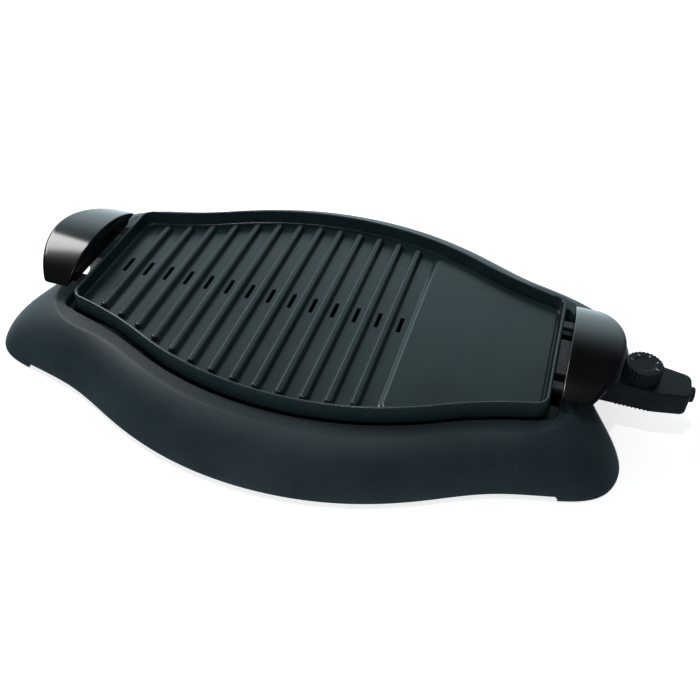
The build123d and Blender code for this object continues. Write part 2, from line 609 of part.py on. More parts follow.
def make_control():
    full = control_plan(0)
    hollow = control_plan(CONTROL_WALL)
    lower = raised(full, CONTROL_BOTTOM, PARTING_Z)
    lower = fillet(lower.faces().sort_by(Axis.Z)[0].edges(), 1.5)
    for i in range(GRIP_COUNT):
        x = KNOB_X - 15 + i * GRIP_PITCH
        grip = block(x - GRIP_WIDTH / 2, x + GRIP_WIDTH / 2, -CONTROL_HALF_WIDTH - GRIP_PROUD,
                     CONTROL_HALF_WIDTH + GRIP_PROUD, CONTROL_BOTTOM + 1.2, PARTING_Z - 1.5)
        lower += grip
    lower -= raised(hollow, CONTROL_BOTTOM + CONTROL_WALL, PARTING_Z + 1)
    upper = raised(full, PARTING_Z, CONTROL_TOP)
    upper = fillet(upper.faces().sort_by(Axis.Z)[-1].edges(), 1.2)
    upper -= raised(hollow, PARTING_Z - 1, CONTROL_TOP - CONTROL_WALL)
    upper -= rod_z(BUSHING_RADIUS + PRESS_CLEARANCE, KNOB_X, 0, PARTING_Z - 2, CONTROL_TOP + 1)

    # openings in the inner face for the probe and the two pins
    lower -= rod_x(PROBE_RADIUS + PRESS_CLEARANCE, CONTROL_X - 1, CONTROL_X + 5, 0, PLUG_Z)
    receptacle_radius = PIN_RADIUS + FIT_CLEARANCE + 1.0
    for sy in (-1, 1):
        lower -= rod_x(receptacle_radius + PRESS_CLEARANCE, CONTROL_X - 1, CONTROL_X + 5,
                       sy * PIN_Y, PLUG_Z)

    # gland in the nose, clamped between the two housings
    gland_z = DECK_TOP - GLAND_DROP
    collar_x = CONTROL_END_X - CONTROL_WALL
    gland_hole = rod_x(GLAND_RADIUS + PRESS_CLEARANCE, collar_x - 1, CONTROL_END_X + 1, 0, gland_z)
    lower -= gland_hole
    upper -= gland_hole
    gland = rod_x(GLAND_RADIUS, collar_x, CONTROL_END_X + GLAND_PROUD, 0, gland_z)
    gland = fillet(gland.edges().sort_by(Axis.X)[-1], 1.0)
    flange_x = collar_x - 0.2
    flange = rod_x(GLAND_RADIUS + GLAND_FLANGE, flange_x - 1.5, flange_x, 0, gland_z)
    flange &= raised(control_plan(CONTROL_WALL + 0.2), CONTROL_BOTTOM, CONTROL_TOP - CONTROL_WALL - 0.2)
    gland += flange + rod_x(GLAND_RADIUS, flange_x - 0.1, collar_x + 0.1, 0, gland_z)
    gland -= rod_x(GLAND_BORE, flange_x - 3, CONTROL_END_X + GLAND_PROUD + 1, 0, gland_z)
    save("cord_gland", gland)

    # three screws from below into posts of the upper housing
    screws = []
    seat_z = CONTROL_BOTTOM + 2.4
    inner_x = CONTROL_X + CONTROL_SCREW_X
    outer_x = CONTROL_END_X - CONTROL_SCREW_NOSE
    for x, y in ((inner_x, CONTROL_SCREW_Y), (inner_x, -CONTROL_SCREW_Y), (outer_x, 0)):
        lower += rod_z(3.8, x, y, CONTROL_BOTTOM + 0.5, PARTING_Z - 4)
        lower -= rod_z(SCREW_HEAD_RADIUS + 0.2, x, y, CONTROL_BOTTOM - 1, seat_z)
        lower -= rod_z(SCREW_RADIUS + 0.1, x, y, CONTROL_BOTTOM - 1, PARTING_Z)
        upper += rod_z(3.2, x, y, PARTING_Z - 4, CONTROL_TOP - 1)
        upper -= rod_z(SCREW_RADIUS + PRESS_CLEARANCE, x, y, PARTING_Z - 5, PARTING_Z + 0.6)
        screws.append(screw(x, y, seat_z, PARTING_Z - seat_z))
    save("control_lower_housing", lower)
    save("control_upper_housing", upper)
    save("control_screws", Compound(screws))

    # probe, held by a collar against the inside of the inner face
    inner_wall_x = CONTROL_X + CONTROL_WALL
    tip_x = CONTROL_X - PROBE_LENGTH + PROBE_OVERLAP
    probe = rod_x(PROBE_RADIUS, tip_x, inner_wall_x + PROBE_OVERLAP, 0, PLUG_Z)
    probe = fillet(probe.edges().sort_by(Axis.X)[0], 2.0)
    save("probe_rod", probe)
    collar = rod_x(COLLAR_RADIUS, inner_wall_x, inner_wall_x + COLLAR_LENGTH, 0, PLUG_Z)
    collar -= rod_x(PROBE_RADIUS + PRESS_CLEARANCE, CONTROL_X, CONTROL_X + 20, 0, PLUG_Z)
    save("probe_collar", collar)

    receptacles = []
    for sy in (-1, 1):
        tube_end = CONTROL_X + RECEPTACLE_LENGTH
        tube = rod_x(receptacle_radius, CONTROL_X + 0.4, tube_end, sy * PIN_Y, PLUG_Z)
        bore = rod_x(PIN_RADIUS + FIT_CLEARANCE, CONTROL_X - 1, tube_end - 3, sy * PIN_Y, PLUG_Z)
        receptacles.append(tube - bore)
    save("contact_receptacles", Compound(receptacles))

    # thermostat: frame, two contact blades in a ceramic stack
    frame_z = CONTROL_BOTTOM + CONTROL_WALL + 0.6
    frame_x0 = inner_wall_x + COLLAR_LENGTH + 0.2
    half = FRAME_HALF_WIDTH
    frame = block(frame_x0, KNOB_X + 12, -half, half, frame_z, frame_z + FRAME_SHEET)
    upright = block(frame_x0, frame_x0 + FRAME_SHEET, -half, half, frame_z, PLUG_Z + 4.5)
    frame += upright - rod_x(PROBE_RADIUS + PRESS_CLEARANCE, frame_x0 - 1, frame_x0 + 3, 0, PLUG_Z)
    save("thermostat_frame", frame)
    stack_x = frame_x0 + 18
    level = frame_z + FRAME_SHEET
    spacers = []
    blades = []
    for thick, kind in ((2.4, "spacer"), (0.5, "blade"), (1.8, "spacer"), (0.5, "blade"), (1.4, "spacer")):
        if kind == "spacer":
            spacers.append(rod_z(SPACER_RADIUS, stack_x, 0, level, level + thick))
        else:
            half = BLADE_HALF_WIDTH
            blades.append(block(stack_x - 4, KNOB_X, -half, half, level, level + thick))
        level += thick
    save("blade_spacers", Compound(spacers))
    save("thermostat_blades", Compound(blades))

    bush_z = CONTROL_TOP - BUSHING_LENGTH
    bushing = rod_z(BUSHING_RADIUS, KNOB_X, 0, bush_z, CONTROL_TOP)
    bushing -= rod_z(SPINDLE_RADIUS + FIT_CLEARANCE, KNOB_X, 0, bush_z - 1, CONTROL_TOP + 1)
    save("spindle_bushing", bushing)


def make_knob():
    top = KNOB_Z + KNOB_HEIGHT
    knob = rod_z(KNOB_RADIUS, KNOB_X, 0, KNOB_Z, top)
    knob = fillet(knob.edges().group_by(Axis.Z)[-1], 0.8)
    flute = Cylinder(KNOB_FLUTE, 3 * KNOB_HEIGHT)
    flutes = [place * flute for place in PolarLocations(KNOB_RADIUS + 0.15, KNOB_FLUTES)]
    knob -= Pos(KNOB_X, 0, KNOB_Z) * Compound(flutes)
    knob -= rod_z(KNOB_RADIUS - KNOB_WALL - 1, KNOB_X, 0, KNOB_Z - 1, top - 4)
    knob += rod_z(SPINDLE_RADIUS + 2, KNOB_X, 0, KNOB_Z, top - 3)
    spindle_top = top - 3
    knob -= rod_z(SPINDLE_RADIUS + PRESS_CLEARANCE, KNOB_X, 0, KNOB_Z - 1, spindle_top)
    knob -= rod_z(DIAL_RADIUS + PRESS_CLEARANCE, KNOB_X, 0, top - DIAL_THICK, top + 1)
    save("control_knob", knob)
    save("dial_disc", rod_z(DIAL_RADIUS, KNOB_X, 0, top - DIAL_THICK, top))
    save("knob_spindle", rod_z(SPINDLE_RADIUS, KNOB_X, 0, spindle_top - SPINDLE_LENGTH, spindle_top))


make_base()
make_tray()
make_plate()
make_guard()
make_handles()
make_control()
make_knob()
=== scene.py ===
# %% [markdown]
# # An electric table griddle, dressed in Blender
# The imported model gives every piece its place, its size and its motion. This script leaves all of
# that alone and gives the pieces their finish: soft moulded edges, cast ribs, gloss and grain.
# Everything is in metres. +X runs along the plate to the dial, +Y to the rear, +Z up, and the
# origin is on the table under the middle of the base.

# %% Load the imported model
import bpy
import bmesh
import json
import math
import numpy as np
from mathutils import Matrix, Vector


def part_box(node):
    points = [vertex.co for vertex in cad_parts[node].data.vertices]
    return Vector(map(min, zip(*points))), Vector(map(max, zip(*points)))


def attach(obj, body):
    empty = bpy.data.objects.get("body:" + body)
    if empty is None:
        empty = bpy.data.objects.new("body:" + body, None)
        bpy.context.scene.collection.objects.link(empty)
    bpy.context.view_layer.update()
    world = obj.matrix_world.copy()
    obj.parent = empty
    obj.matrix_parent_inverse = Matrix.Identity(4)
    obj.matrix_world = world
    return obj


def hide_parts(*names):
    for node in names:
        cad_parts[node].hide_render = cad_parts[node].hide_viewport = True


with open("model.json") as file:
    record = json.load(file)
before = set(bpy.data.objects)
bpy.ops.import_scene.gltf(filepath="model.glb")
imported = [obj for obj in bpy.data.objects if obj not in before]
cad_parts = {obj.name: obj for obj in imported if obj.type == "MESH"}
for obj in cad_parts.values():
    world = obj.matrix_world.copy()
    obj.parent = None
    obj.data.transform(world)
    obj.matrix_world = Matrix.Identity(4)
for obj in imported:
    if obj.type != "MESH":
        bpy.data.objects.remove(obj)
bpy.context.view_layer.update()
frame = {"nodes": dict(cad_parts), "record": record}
MM = 0.001
print("packed nodes:", len(frame["nodes"]))

# %% [markdown]
# ## The camera
# A low appliance is shown from the front, well above it, so that the cooking
# surface shows. The camera is set by its three directions instead of by angles, because three
# directions are easy to check: right, up and back are the columns of its rotation.

# %% Camera
right = Vector((0.95706, 0.28652, 0.04417))
up = Vector((-0.22135, 0.62382, 0.74958))
back = right.cross(up)
turn = Matrix((right, up, back)).transposed().to_4x4()
camera_data = bpy.data.cameras.new("camera")
camera_data.lens = 44.42
camera_data.sensor_width = 36.0
camera = bpy.data.objects.new("camera", camera_data)
camera.matrix_world = Matrix.Translation((0.17463, -0.57341, 0.51858)) @ turn
bpy.context.scene.collection.objects.link(camera)
bpy.context.scene.camera = camera
print("camera height:", round(camera.location.z, 3))

# %% [markdown]
# ## Sizes
# The sizes that shape the visible pieces are named once here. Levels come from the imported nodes,
# so that a piece made below lands exactly where the moving model has it.

# %% Levels and driving sizes
plate_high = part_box("cooking_plate")[1]
base_low, base_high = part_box("base_housing")
pad_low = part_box("plate_rest_pads")[0]
handle_low, handle_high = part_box("right_handle")
DECK = base_high.z
FOOT = base_low.z
VALLEY = DECK
RIM_TOP = plate_high.z
PLATE_HALF_LENGTH = 206.5 * MM
PLATE_HALF_WIDTH = plate_high.y
BELLY_RADIUS = 272 * MM
BELLY_TURN = math.radians(27.5)
WAIST_RADIUS = 333 * MM
PLATE_CORNER = 13 * MM
RIM_WALL = 2.8 * MM
PLATE_FLOOR = 4 * MM
print("deck at", round(DECK, 4), "rim top at", round(RIM_TOP, 4))

# %% [markdown]
# ## The plate's plan
# Seen from above the plate is leaf shaped: an outward belly on each side, an inward waist towards
# each end, straight ends and round corners. Every wall, lip and deck edge follows this plan, so it
# is one function that gives points and their outward directions, and any other outline is those
# points moved outwards.

# %% Half width of the plate along its length
WAIST_X = BELLY_RADIUS * math.sin(BELLY_TURN)
WAIST_CENTRE_X = WAIST_X + WAIST_RADIUS * math.sin(BELLY_TURN)
WAIST_CENTRE_Y = PLATE_HALF_WIDTH - BELLY_RADIUS + (BELLY_RADIUS + WAIST_RADIUS) * math.cos(BELLY_TURN)


def half_width(x):
    x = abs(x)
    if x <= WAIST_X:
        return PLATE_HALF_WIDTH - BELLY_RADIUS + math.sqrt(BELLY_RADIUS ** 2 - x ** 2)
    return WAIST_CENTRE_Y - math.sqrt(WAIST_RADIUS ** 2 - (x - WAIST_CENTRE_X) ** 2)


def side_lean(x):
    """How many radians the side leans inwards at x."""
    step = 0.1 * MM
    return math.atan2(half_width(x - step) - half_width(x + step), 2 * step)


END_HALF_WIDTH = half_width(PLATE_HALF_LENGTH)
print("plate half width, middle and end:", round(half_width(0), 4), round(END_HALF_WIDTH, 4))


# %% Plan points with their outward directions
def mirrored_quarter(quarter):
    """A closed outline from its first quarter, which runs from +X to +Y."""
    points = list(quarter)
    points += [(-x, y, -nx, ny) for x, y, nx, ny in quarter[-2::-1]]
    points += [(-x, -y, -nx, -ny) for x, y, nx, ny in quarter[1:]]
    points += [(x, -y, nx, -ny) for x, y, nx, ny in quarter[-2:0:-1]]
    return np.array(points)


def plate_plan(end_x=PLATE_HALF_LENGTH, end_steps=10, corner_steps=12, side_steps=44):
    centre_x = end_x - PLATE_CORNER
    lean = side_lean(centre_x)
    touch_x = centre_x + PLATE_CORNER * math.sin(lean)
    centre_y = half_width(touch_x) - PLATE_CORNER * math.cos(lean)
    quarter = []
    for i in range(end_steps):
        quarter.append((end_x, centre_y * i / end_steps, 1.0, 0.0))
    for i in range(corner_steps):
        a = (math.pi / 2 - lean) * i / corner_steps
        direction = (math.cos(a), math.sin(a))
        quarter.append((centre_x + PLATE_CORNER * direction[0],
                        centre_y + PLATE_CORNER * direction[1], *direction))
    for i in range(side_steps + 1):
        x = touch_x * (1 - i / side_steps)
        lean_here = side_lean(x) if x > MM else 0.0
        quarter.append((x, half_width(x), math.sin(lean_here), math.cos(lean_here)))
    return mirrored_quarter(quarter)


PLAN = plate_plan()
print("plan points:", len(PLAN))


# %% [markdown]
# ## Building a moulded body from rings
# A pressed or moulded shell is easiest to think of as rings: the same outline repeated at other
# heights and offsets, joined by faces. Closing the first and last ring makes it watertight, and a
# small radius is only a few more rings. Edges sharper than an angle stay crisp, the rest is smooth.

# %% Ring helpers
def plan_ring(plan, grow, z):
    ring = np.empty((len(plan), 3))
    ring[:, :2] = plan[:, :2] + plan[:, 2:] * grow
    ring[:, 2] = z
    return ring


def new_piece(name, mesh, sharp=32.0):
    mesh.shade_smooth()
    mesh.set_sharp_from_angle(angle=math.radians(sharp))
    for face in mesh.polygons:
        if abs(face.normal.z) > 0.999999:
            face.use_smooth = False
    piece = bpy.data.objects.new(name, mesh)
    bpy.context.scene.collection.objects.link(piece)
    return piece


def clean_mesh(mesh, merge=0.01 * MM):
    work = bmesh.new()
    work.from_mesh(mesh)
    bmesh.ops.remove_doubles(work, verts=work.verts, dist=merge)
    bmesh.ops.recalc_face_normals(work, faces=work.faces)
    work.to_mesh(mesh)
    work.free()
    return mesh


def ring_mesh(name, rings, loop=False):
    """Rings joined by quads. Open ends are closed with one face, or the last ring joins the first."""
    count = len(rings[0])
    points = np.concatenate(rings)
    faces = []
    last = len(rings) if loop else len(rings) - 1
    for i in range(last):
        here = i * count
        there = (i + 1) % len(rings) * count
        for k in range(count):
            n = (k + 1) % count
            faces.append((here + k, here + n, there + n, there + k))
    if not loop:
        faces.append(tuple(range(count)))
        faces.append(tuple(range(len(points) - count, len(points))))
    mesh = bpy.data.meshes.new(name)
    mesh.from_pydata([tuple(p) for p in points], [], faces)
    return clean_mesh(mesh)


def quarter_round(offset, z, radius, start, stop, steps=4):
    """(offset, z) pairs on an arc about a centre, from one angle to another in degrees."""
    pairs = []
    for i in range(steps + 1):
        a = math.radians(start + (stop - start) * i / steps)
        pairs.append((offset + radius * math.cos(a), z + radius * math.sin(a)))
    return pairs


def join_meshes(name, meshes):
    work = bmesh.new()
    for mesh in meshes:
        work.from_mesh(mesh)
    joined = bpy.data.meshes.new(name)
    work.to_mesh(joined)
    work.free()
    return joined


# %% [markdown]
# ## Finishes
# Moulded plastic, non-stick coating, pressed steel and rubber differ in three ways: how colour
# varies, how rough the surface is, and how deep its grain is. One function builds all of them from
# noise on Object coordinates, so the grain has its real size and stays put when a piece moves.

# %% One recipe for a surface
def finish(name, dark, light, rough, grain, depth, metallic=0.0, specular=0.5, coat=0.0,
           spread=0.08, patch=18.0, stretch=(1, 1, 1), wear=0.35):
    material = bpy.data.materials.new(name)
    material.use_nodes = True
    nodes = material.node_tree.nodes
    links = material.node_tree.links
    shader = nodes["Principled BSDF"]
    shader.inputs["Metallic"].default_value = metallic
    shader.inputs["Specular IOR Level"].default_value = specular
    shader.inputs["Coat Weight"].default_value = coat
    shader.inputs["Coat Roughness"].default_value = 0.08
    place = nodes.new("ShaderNodeTexCoord")
    mapping = nodes.new("ShaderNodeMapping")
    mapping.inputs["Scale"].default_value = stretch
    links.new(place.outputs["Object"], mapping.inputs["Vector"])
    fine = nodes.new("ShaderNodeTexNoise")
    fine.inputs["Scale"].default_value = grain
    fine.inputs["Detail"].default_value = 3.0
    broad = nodes.new("ShaderNodeTexNoise")
    broad.inputs["Scale"].default_value = patch
    broad.inputs["Detail"].default_value = 2.0
    links.new(mapping.outputs["Vector"], fine.inputs["Vector"])
    links.new(mapping.outputs["Vector"], broad.inputs["Vector"])
    both = nodes.new("ShaderNodeMath")
    both.operation = "MULTIPLY_ADD"
    both.inputs[1].default_value = 0.6
    links.new(fine.outputs["Fac"], both.inputs[0])
    share = nodes.new("ShaderNodeMath")
    share.operation = "MULTIPLY"
    share.inputs[1].default_value = 0.4
    links.new(broad.outputs["Fac"], share.inputs[0])
    links.new(share.outputs[0], both.inputs[2])
    colours = nodes.new("ShaderNodeValToRGB")
    colours.color_ramp.elements[0].position = 0.36
    colours.color_ramp.elements[0].color = (*dark, 1)
    colours.color_ramp.elements[1].position = 0.64
    colours.color_ramp.elements[1].color = (*light, 1)
    links.new(both.outputs[0], colours.inputs["Fac"])
    shape = nodes.new("ShaderNodeNewGeometry")
    edge = nodes.new("ShaderNodeMapRange")
    edge.inputs["From Min"].default_value = 0.51
    edge.inputs["From Max"].default_value = 0.60
    edge.inputs["To Max"].default_value = wear
    links.new(shape.outputs["Pointiness"], edge.inputs["Value"])
    patchy = nodes.new("ShaderNodeMath")
    patchy.operation = "MULTIPLY"
    links.new(edge.outputs["Result"], patchy.inputs[0])
    links.new(broad.outputs["Fac"], patchy.inputs[1])
    worn = nodes.new("ShaderNodeMix")
    worn.data_type = "RGBA"
    links.new(patchy.outputs[0], worn.inputs[0])
    links.new(colours.outputs["Color"], worn.inputs[6])
    worn.inputs[7].default_value = (*[min(0.9, 2.2 * v + 0.02) for v in light], 1)
    links.new(worn.outputs[2], shader.inputs["Base Color"])
    gloss = nodes.new("ShaderNodeMapRange")
    gloss.inputs["From Min"].default_value = 0.3
    gloss.inputs["From Max"].default_value = 0.7
    gloss.inputs["To Min"].default_value = rough - spread / 2
    gloss.inputs["To Max"].default_value = rough + spread / 2
    links.new(broad.outputs["Fac"], gloss.inputs["Value"])
    links.new(gloss.outputs["Result"], shader.inputs["Roughness"])
    bump = nodes.new("ShaderNodeBump")
    bump.inputs["Strength"].default_value = 1.0
    bump.inputs["Distance"].default_value = depth
    links.new(fine.outputs["Fac"], bump.inputs["Height"])
    links.new(bump.outputs["Normal"], shader.inputs["Normal"])
    return material


# %% [markdown]
# Corners rub against hands, cloths and shelves first, so every finish turns a little paler where
# the surface is sharp. The Geometry node's Pointiness tells a corner from a flat, and the broad
# noise breaks the wear up, because even wear looks painted.
#
# The base is a fine textured moulding in blue-black. The handles are polished, so their grain is
# almost nothing. The plate's coating is smoother than the base but never glossy. Metal parts get a
# stretched grain where they were drawn or rolled.

# %% The griddle's finishes
FINISHES = {
    "base_plastic": finish("base_plastic", (0.009, 0.019, 0.025), (0.022, 0.040, 0.050),
                           0.52, 1100, 0.10 * MM, specular=0.40),
    "nonstick_plate": finish("nonstick_plate", (0.009, 0.020, 0.023), (0.015, 0.030, 0.034),
                             0.27, 900, 0.010 * MM, specular=0.45),
    "handle_gloss": finish("handle_gloss", (0.0015, 0.0018, 0.002), (0.0028, 0.0033, 0.0036),
                           0.15, 260, 0.006 * MM, spread=0.04),
    "control_plastic": finish("control_plastic", (0.0055, 0.009, 0.0115), (0.012, 0.018, 0.022),
                              0.38, 1300, 0.02 * MM, specular=0.28),
    "knob_plastic": finish("knob_plastic", (0.005, 0.007, 0.008), (0.010, 0.014, 0.016),
                           0.30, 1300, 0.015 * MM, specular=0.32, wear=0.8),
    "dial_print": finish("dial_print", (0.003, 0.005, 0.006), (0.007, 0.010, 0.012),
                         0.42, 1500, 0.015 * MM, specular=0.22),
    "print_white": finish("print_white", (0.62, 0.64, 0.64), (0.78, 0.80, 0.80), 0.45, 1400, 0.004 * MM),
    "silicone": finish("silicone", (0.20, 0.19, 0.18), (0.27, 0.26, 0.24), 0.55, 1000, 0.01 * MM),
    "foot_rubber": finish("foot_rubber", (0.012, 0.012, 0.012), (0.022, 0.022, 0.022), 0.75, 900, 0.03 * MM),
    "gland_rubber": finish("gland_rubber", (0.009, 0.009, 0.009), (0.016, 0.016, 0.016),
                           0.55, 900, 0.02 * MM),
    "tray_aluminium": finish("tray_aluminium", (0.34, 0.35, 0.36), (0.48, 0.49, 0.50),
                             0.36, 500, 0.01 * MM, metallic=1.0, stretch=(0.15, 1, 1)),
    "element_steel": finish("element_steel", (0.10, 0.085, 0.075), (0.19, 0.165, 0.14),
                            0.42, 400, 0.01 * MM, metallic=1.0),
    "guard_steel": finish("guard_steel", (0.035, 0.036, 0.038), (0.070, 0.073, 0.077),
                          0.40, 500, 0.01 * MM, metallic=0.6, stretch=(1, 0.2, 1)),
    "screw_steel": finish("screw_steel", (0.36, 0.36, 0.37), (0.50, 0.50, 0.51),
                          0.32, 700, 0.008 * MM, metallic=1.0),
    "probe_steel": finish("probe_steel", (0.42, 0.42, 0.43), (0.55, 0.55, 0.56),
                          0.24, 500, 0.006 * MM, metallic=1.0, stretch=(0.1, 1, 1)),
    "plated_pin": finish("plated_pin", (0.52, 0.52, 0.53), (0.66, 0.66, 0.67),
                         0.18, 500, 0.004 * MM, metallic=1.0, stretch=(0.1, 1, 1)),
    "ceramic": finish("ceramic", (0.56, 0.53, 0.46), (0.66, 0.63, 0.56), 0.38, 700, 0.01 * MM, coat=0.2),
    "brass_contact": finish("brass_contact", (0.42, 0.30, 0.13), (0.56, 0.42, 0.20),
                            0.30, 500, 0.006 * MM, metallic=1.0),
    "spring_brass": finish("spring_brass", (0.46, 0.34, 0.17), (0.60, 0.46, 0.25),
                           0.28, 500, 0.006 * MM, metallic=1.0, stretch=(0.1, 1, 1)),
}
print("finishes:", len(FINISHES))

# %% [markdown]
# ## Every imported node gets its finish
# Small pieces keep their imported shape: screws, pins, probe, contacts, tray and rubber feet are
# already right. Their loose triangles only need a material in each slot.

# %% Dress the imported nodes
for part in frame["record"]["subparts"]:
    mesh = frame["nodes"][part["node"]].data
    mesh.materials.clear()
    mesh.materials.append(FINISHES[part["material_slot"]])


def mount(piece, body, slot, *nodes):
    """Give a finished piece its material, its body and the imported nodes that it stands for."""
    if not piece.data.materials:
        piece.data.materials.append(FINISHES[slot])
    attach(piece, body)
    if nodes:
        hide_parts(*nodes)
    print(piece.name, len(piece.data.polygons), "faces")


# %% [markdown]
# ## The base housing
# On the real griddle the base is one injection moulding with a double wall: a deep well that holds
# the drip tray, a flat deck ring round the opening, and a skirt that sweeps out to four corner
# feet. It could be sculpted, but the skirt has a rule: it leaves the deck gently and turns steeper
# on its way down, further out at the feet than at the ends. So it is built as rings from that rule.

# %% The rule of the skirt
OPENING_GAP = 4.5 * MM
POCKET_X = PLATE_HALF_LENGTH + 9 * MM
POCKET_Y = END_HALF_WIDTH + 3.3 * MM
POCKET_CORNER = 10 * MM
DECK_RING = 13.5 * MM
END_DECK = 25 * MM
DECK_END = PLATE_HALF_LENGTH + END_DECK
BASE_WALL = 3 * MM
WELL_FLOOR = 8 * MM
SIDE_FLARE, FOOT_FLARE, END_FLARE = 38.5 * MM, 49.5 * MM, 7 * MM
SIDE_SLOPE, LOBE_SLOPE, FOOT_SLOPE = 19.0, 42.0, 80.0


def deck_stations():
    """A quarter of the deck's edge, from mid side to mid end: point, direction, flare, slope."""
    points = []
    for share in (0.0, 0.30, 0.56, 0.80, 0.99):
        x = share * PLATE_HALF_LENGTH
        points.append((x, half_width(x) + OPENING_GAP + DECK_RING))
    corner_y = points[-1][1]
    points += [(PLATE_HALF_LENGTH + 0.62 * END_DECK, 0.82 * corner_y), (DECK_END - 2 * MM, 0.60 * corner_y),
               (DECK_END, 0.30 * corner_y), (DECK_END, 0.0)]
    flares = [share * SIDE_FLARE for share in (1.0, 0.98, 0.93, 0.89, 0.92)]
    flares += [FOOT_FLARE, 0.87 * FOOT_FLARE, 0.40 * FOOT_FLARE, END_FLARE]
    slopes = [SIDE_SLOPE] * 4 + [(SIDE_SLOPE + LOBE_SLOPE) / 2] + [LOBE_SLOPE] * 4
    stations = []
    last = len(points) - 1
    for i, (x, y) in enumerate(points):
        before = points[i - 1] if i else (-points[1][0], points[1][1])
        after = points[i + 1] if i < last else (points[last - 1][0], -points[last - 1][1])
        along = Vector((after[0] - before[0], after[1] - before[1])).normalized()
        stations.append((x, y, -along.y, along.x, flares[i], slopes[i]))
    return stations


def skirt_spread(drop, slope):
    """How far out the skirt is, of its whole flare, at a share of its height below the deck."""
    start, stop = math.radians(slope), math.radians(FOOT_SLOPE)
    angle = math.acos(math.cos(start) - drop * (math.cos(start) - math.cos(stop)))
    return (math.sin(angle) - math.sin(start)) / (math.sin(stop) - math.sin(start))


# %% A smooth closed curve through the stations
def closed_curve(points, steps=8):
    """A curve without kinks through a closed list of points, as a dense ring."""
    p = np.array(points)
    n = len(p)
    gap = np.linalg.norm(np.roll(p, -1, 0) - p, axis=1)
    rise = (np.roll(p, -1, 0) - p) / gap[:, None] ** 2
    system = np.zeros((n, n))
    for i in range(n):
        system[i, i - 1] = 1 / gap[i - 1]
        system[i, i] = 2 / gap[i - 1] + 2 / gap[i]
        system[i, (i + 1) % n] = 1 / gap[i]
    speed = np.linalg.solve(system, 3 * (np.roll(rise, 1, 0) + rise))
    dense = []
    for i in range(n):
        a, b, ta, tb = p[i], p[(i + 1) % n], speed[i] * gap[i], speed[(i + 1) % n] * gap[i]
        for k in range(steps):
            s = k / steps
            dense.append((2 * s ** 3 - 3 * s ** 2 + 1) * a + (s ** 3 - 2 * s ** 2 + s) * ta
                         + (3 * s ** 2 - 2 * s ** 3) * b + (s ** 3 - s ** 2) * tb)
    return np.array(dense)


def skirt_ring(drop, inset, top=DECK, foot=FOOT):
    quarter = []
    for x, y, nx, ny, flare, slope in deck_stations():
        reach = skirt_spread(drop, slope) * flare - inset
        quarter.append((x + nx * reach, y + ny * reach))
    outline = quarter + [(x, -y) for x, y in quarter[-2::-1]]
    outline += [(-x, -y) for x, y in quarter[1:]] + [(-x, y) for x, y in quarter[-2:0:-1]]
    dense = closed_curve(outline)
    return np.column_stack([dense, np.full(len(dense), top - (top - foot) * drop)])


def at_height(ring, z):
    level = ring.copy()
    level[:, 2] = z
    return level


widest = skirt_ring(1.0, 0.0)
print("base spreads to", widest.max(axis=0).round(4), "packed", tuple(round(v, 4) for v in base_high))


# %% [markdown]
# The opening in the deck is the plate's plan grown a little, joined to a rounded pocket at each end
# where the ears and the guard sit. Seen from the middle, each direction meets each shape once, so
# the joined outline is simply the further of the two in every direction.

# %% The opening's outline
def rounded_bar_outline(half_x, half_y, corner, steps=10, straight=24):
    quarter = [(half_x, (half_y - corner) * i / straight) for i in range(straight)]
    for i in range(steps + 1):
        a = math.pi / 2 * i / steps
        quarter.append((half_x - corner + corner * math.cos(a), half_y - corner + corner * math.sin(a)))
    quarter += [((half_x - corner) * (1 - i / (3 * straight)), half_y) for i in range(1, 3 * straight + 1)]
    return mirrored_quarter([(x, y, 0.0, 0.0) for x, y in quarter])[:, :2]


def reach_by_angle(outline, angles):
    turn_of = np.arctan2(outline[:, 1], outline[:, 0])
    order = np.argsort(turn_of)
    reach = np.hypot(outline[order, 0], outline[order, 1])
    return np.interp(angles, turn_of[order], reach, period=2 * math.pi)


opening_angles = []
for outline in (PLAN[:, :2] + PLAN[:, 2:] * OPENING_GAP,
                rounded_bar_outline(POCKET_X, POCKET_Y, POCKET_CORNER)):
    opening_angles += list(np.arctan2(outline[:, 1], outline[:, 0]))
opening_angles = np.sort(np.array(opening_angles) % (2 * math.pi))
opening_angles = opening_angles[np.diff(opening_angles, prepend=-1.0) > 0.003]


def opening_ring(grow, z):
    plan = PLAN[:, :2] + PLAN[:, 2:] * (OPENING_GAP + grow)
    pocket = rounded_bar_outline(POCKET_X + grow, POCKET_Y + grow, POCKET_CORNER + grow)
    reach = np.maximum(reach_by_angle(plan, opening_angles), reach_by_angle(pocket, opening_angles))
    return np.column_stack([reach * np.cos(opening_angles), reach * np.sin(opening_angles),
                            np.full(len(reach), z)])


print("opening points:", len(opening_angles))


# %% [markdown]
# Rings give walls, and flat sheets close them. A flat sheet may have holes: an outline and its
# holes are laid down as edges, and the fill turns the space between them into triangles.

# %% Walls and flat sheets
def wall_mesh(name, rings):
    mesh = ring_mesh(name, rings)
    work = bmesh.new()
    work.from_mesh(mesh)
    caps = [f for f in work.faces if len(f.verts) > 4]
    bmesh.ops.delete(work, geom=caps, context="FACES_ONLY")
    work.to_mesh(mesh)
    work.free()
    return mesh


def flat_sheet(name, loops):
    work = bmesh.new()
    for loop in loops:
        corners = [work.verts.new(p) for p in loop]
        for i, corner in enumerate(corners):
            work.edges.new((corner, corners[i - 1]))
    bmesh.ops.triangle_fill(work, use_beauty=True, use_dissolve=False, edges=work.edges[:])
    mesh = bpy.data.meshes.new(name)
    work.to_mesh(mesh)
    work.free()
    return mesh


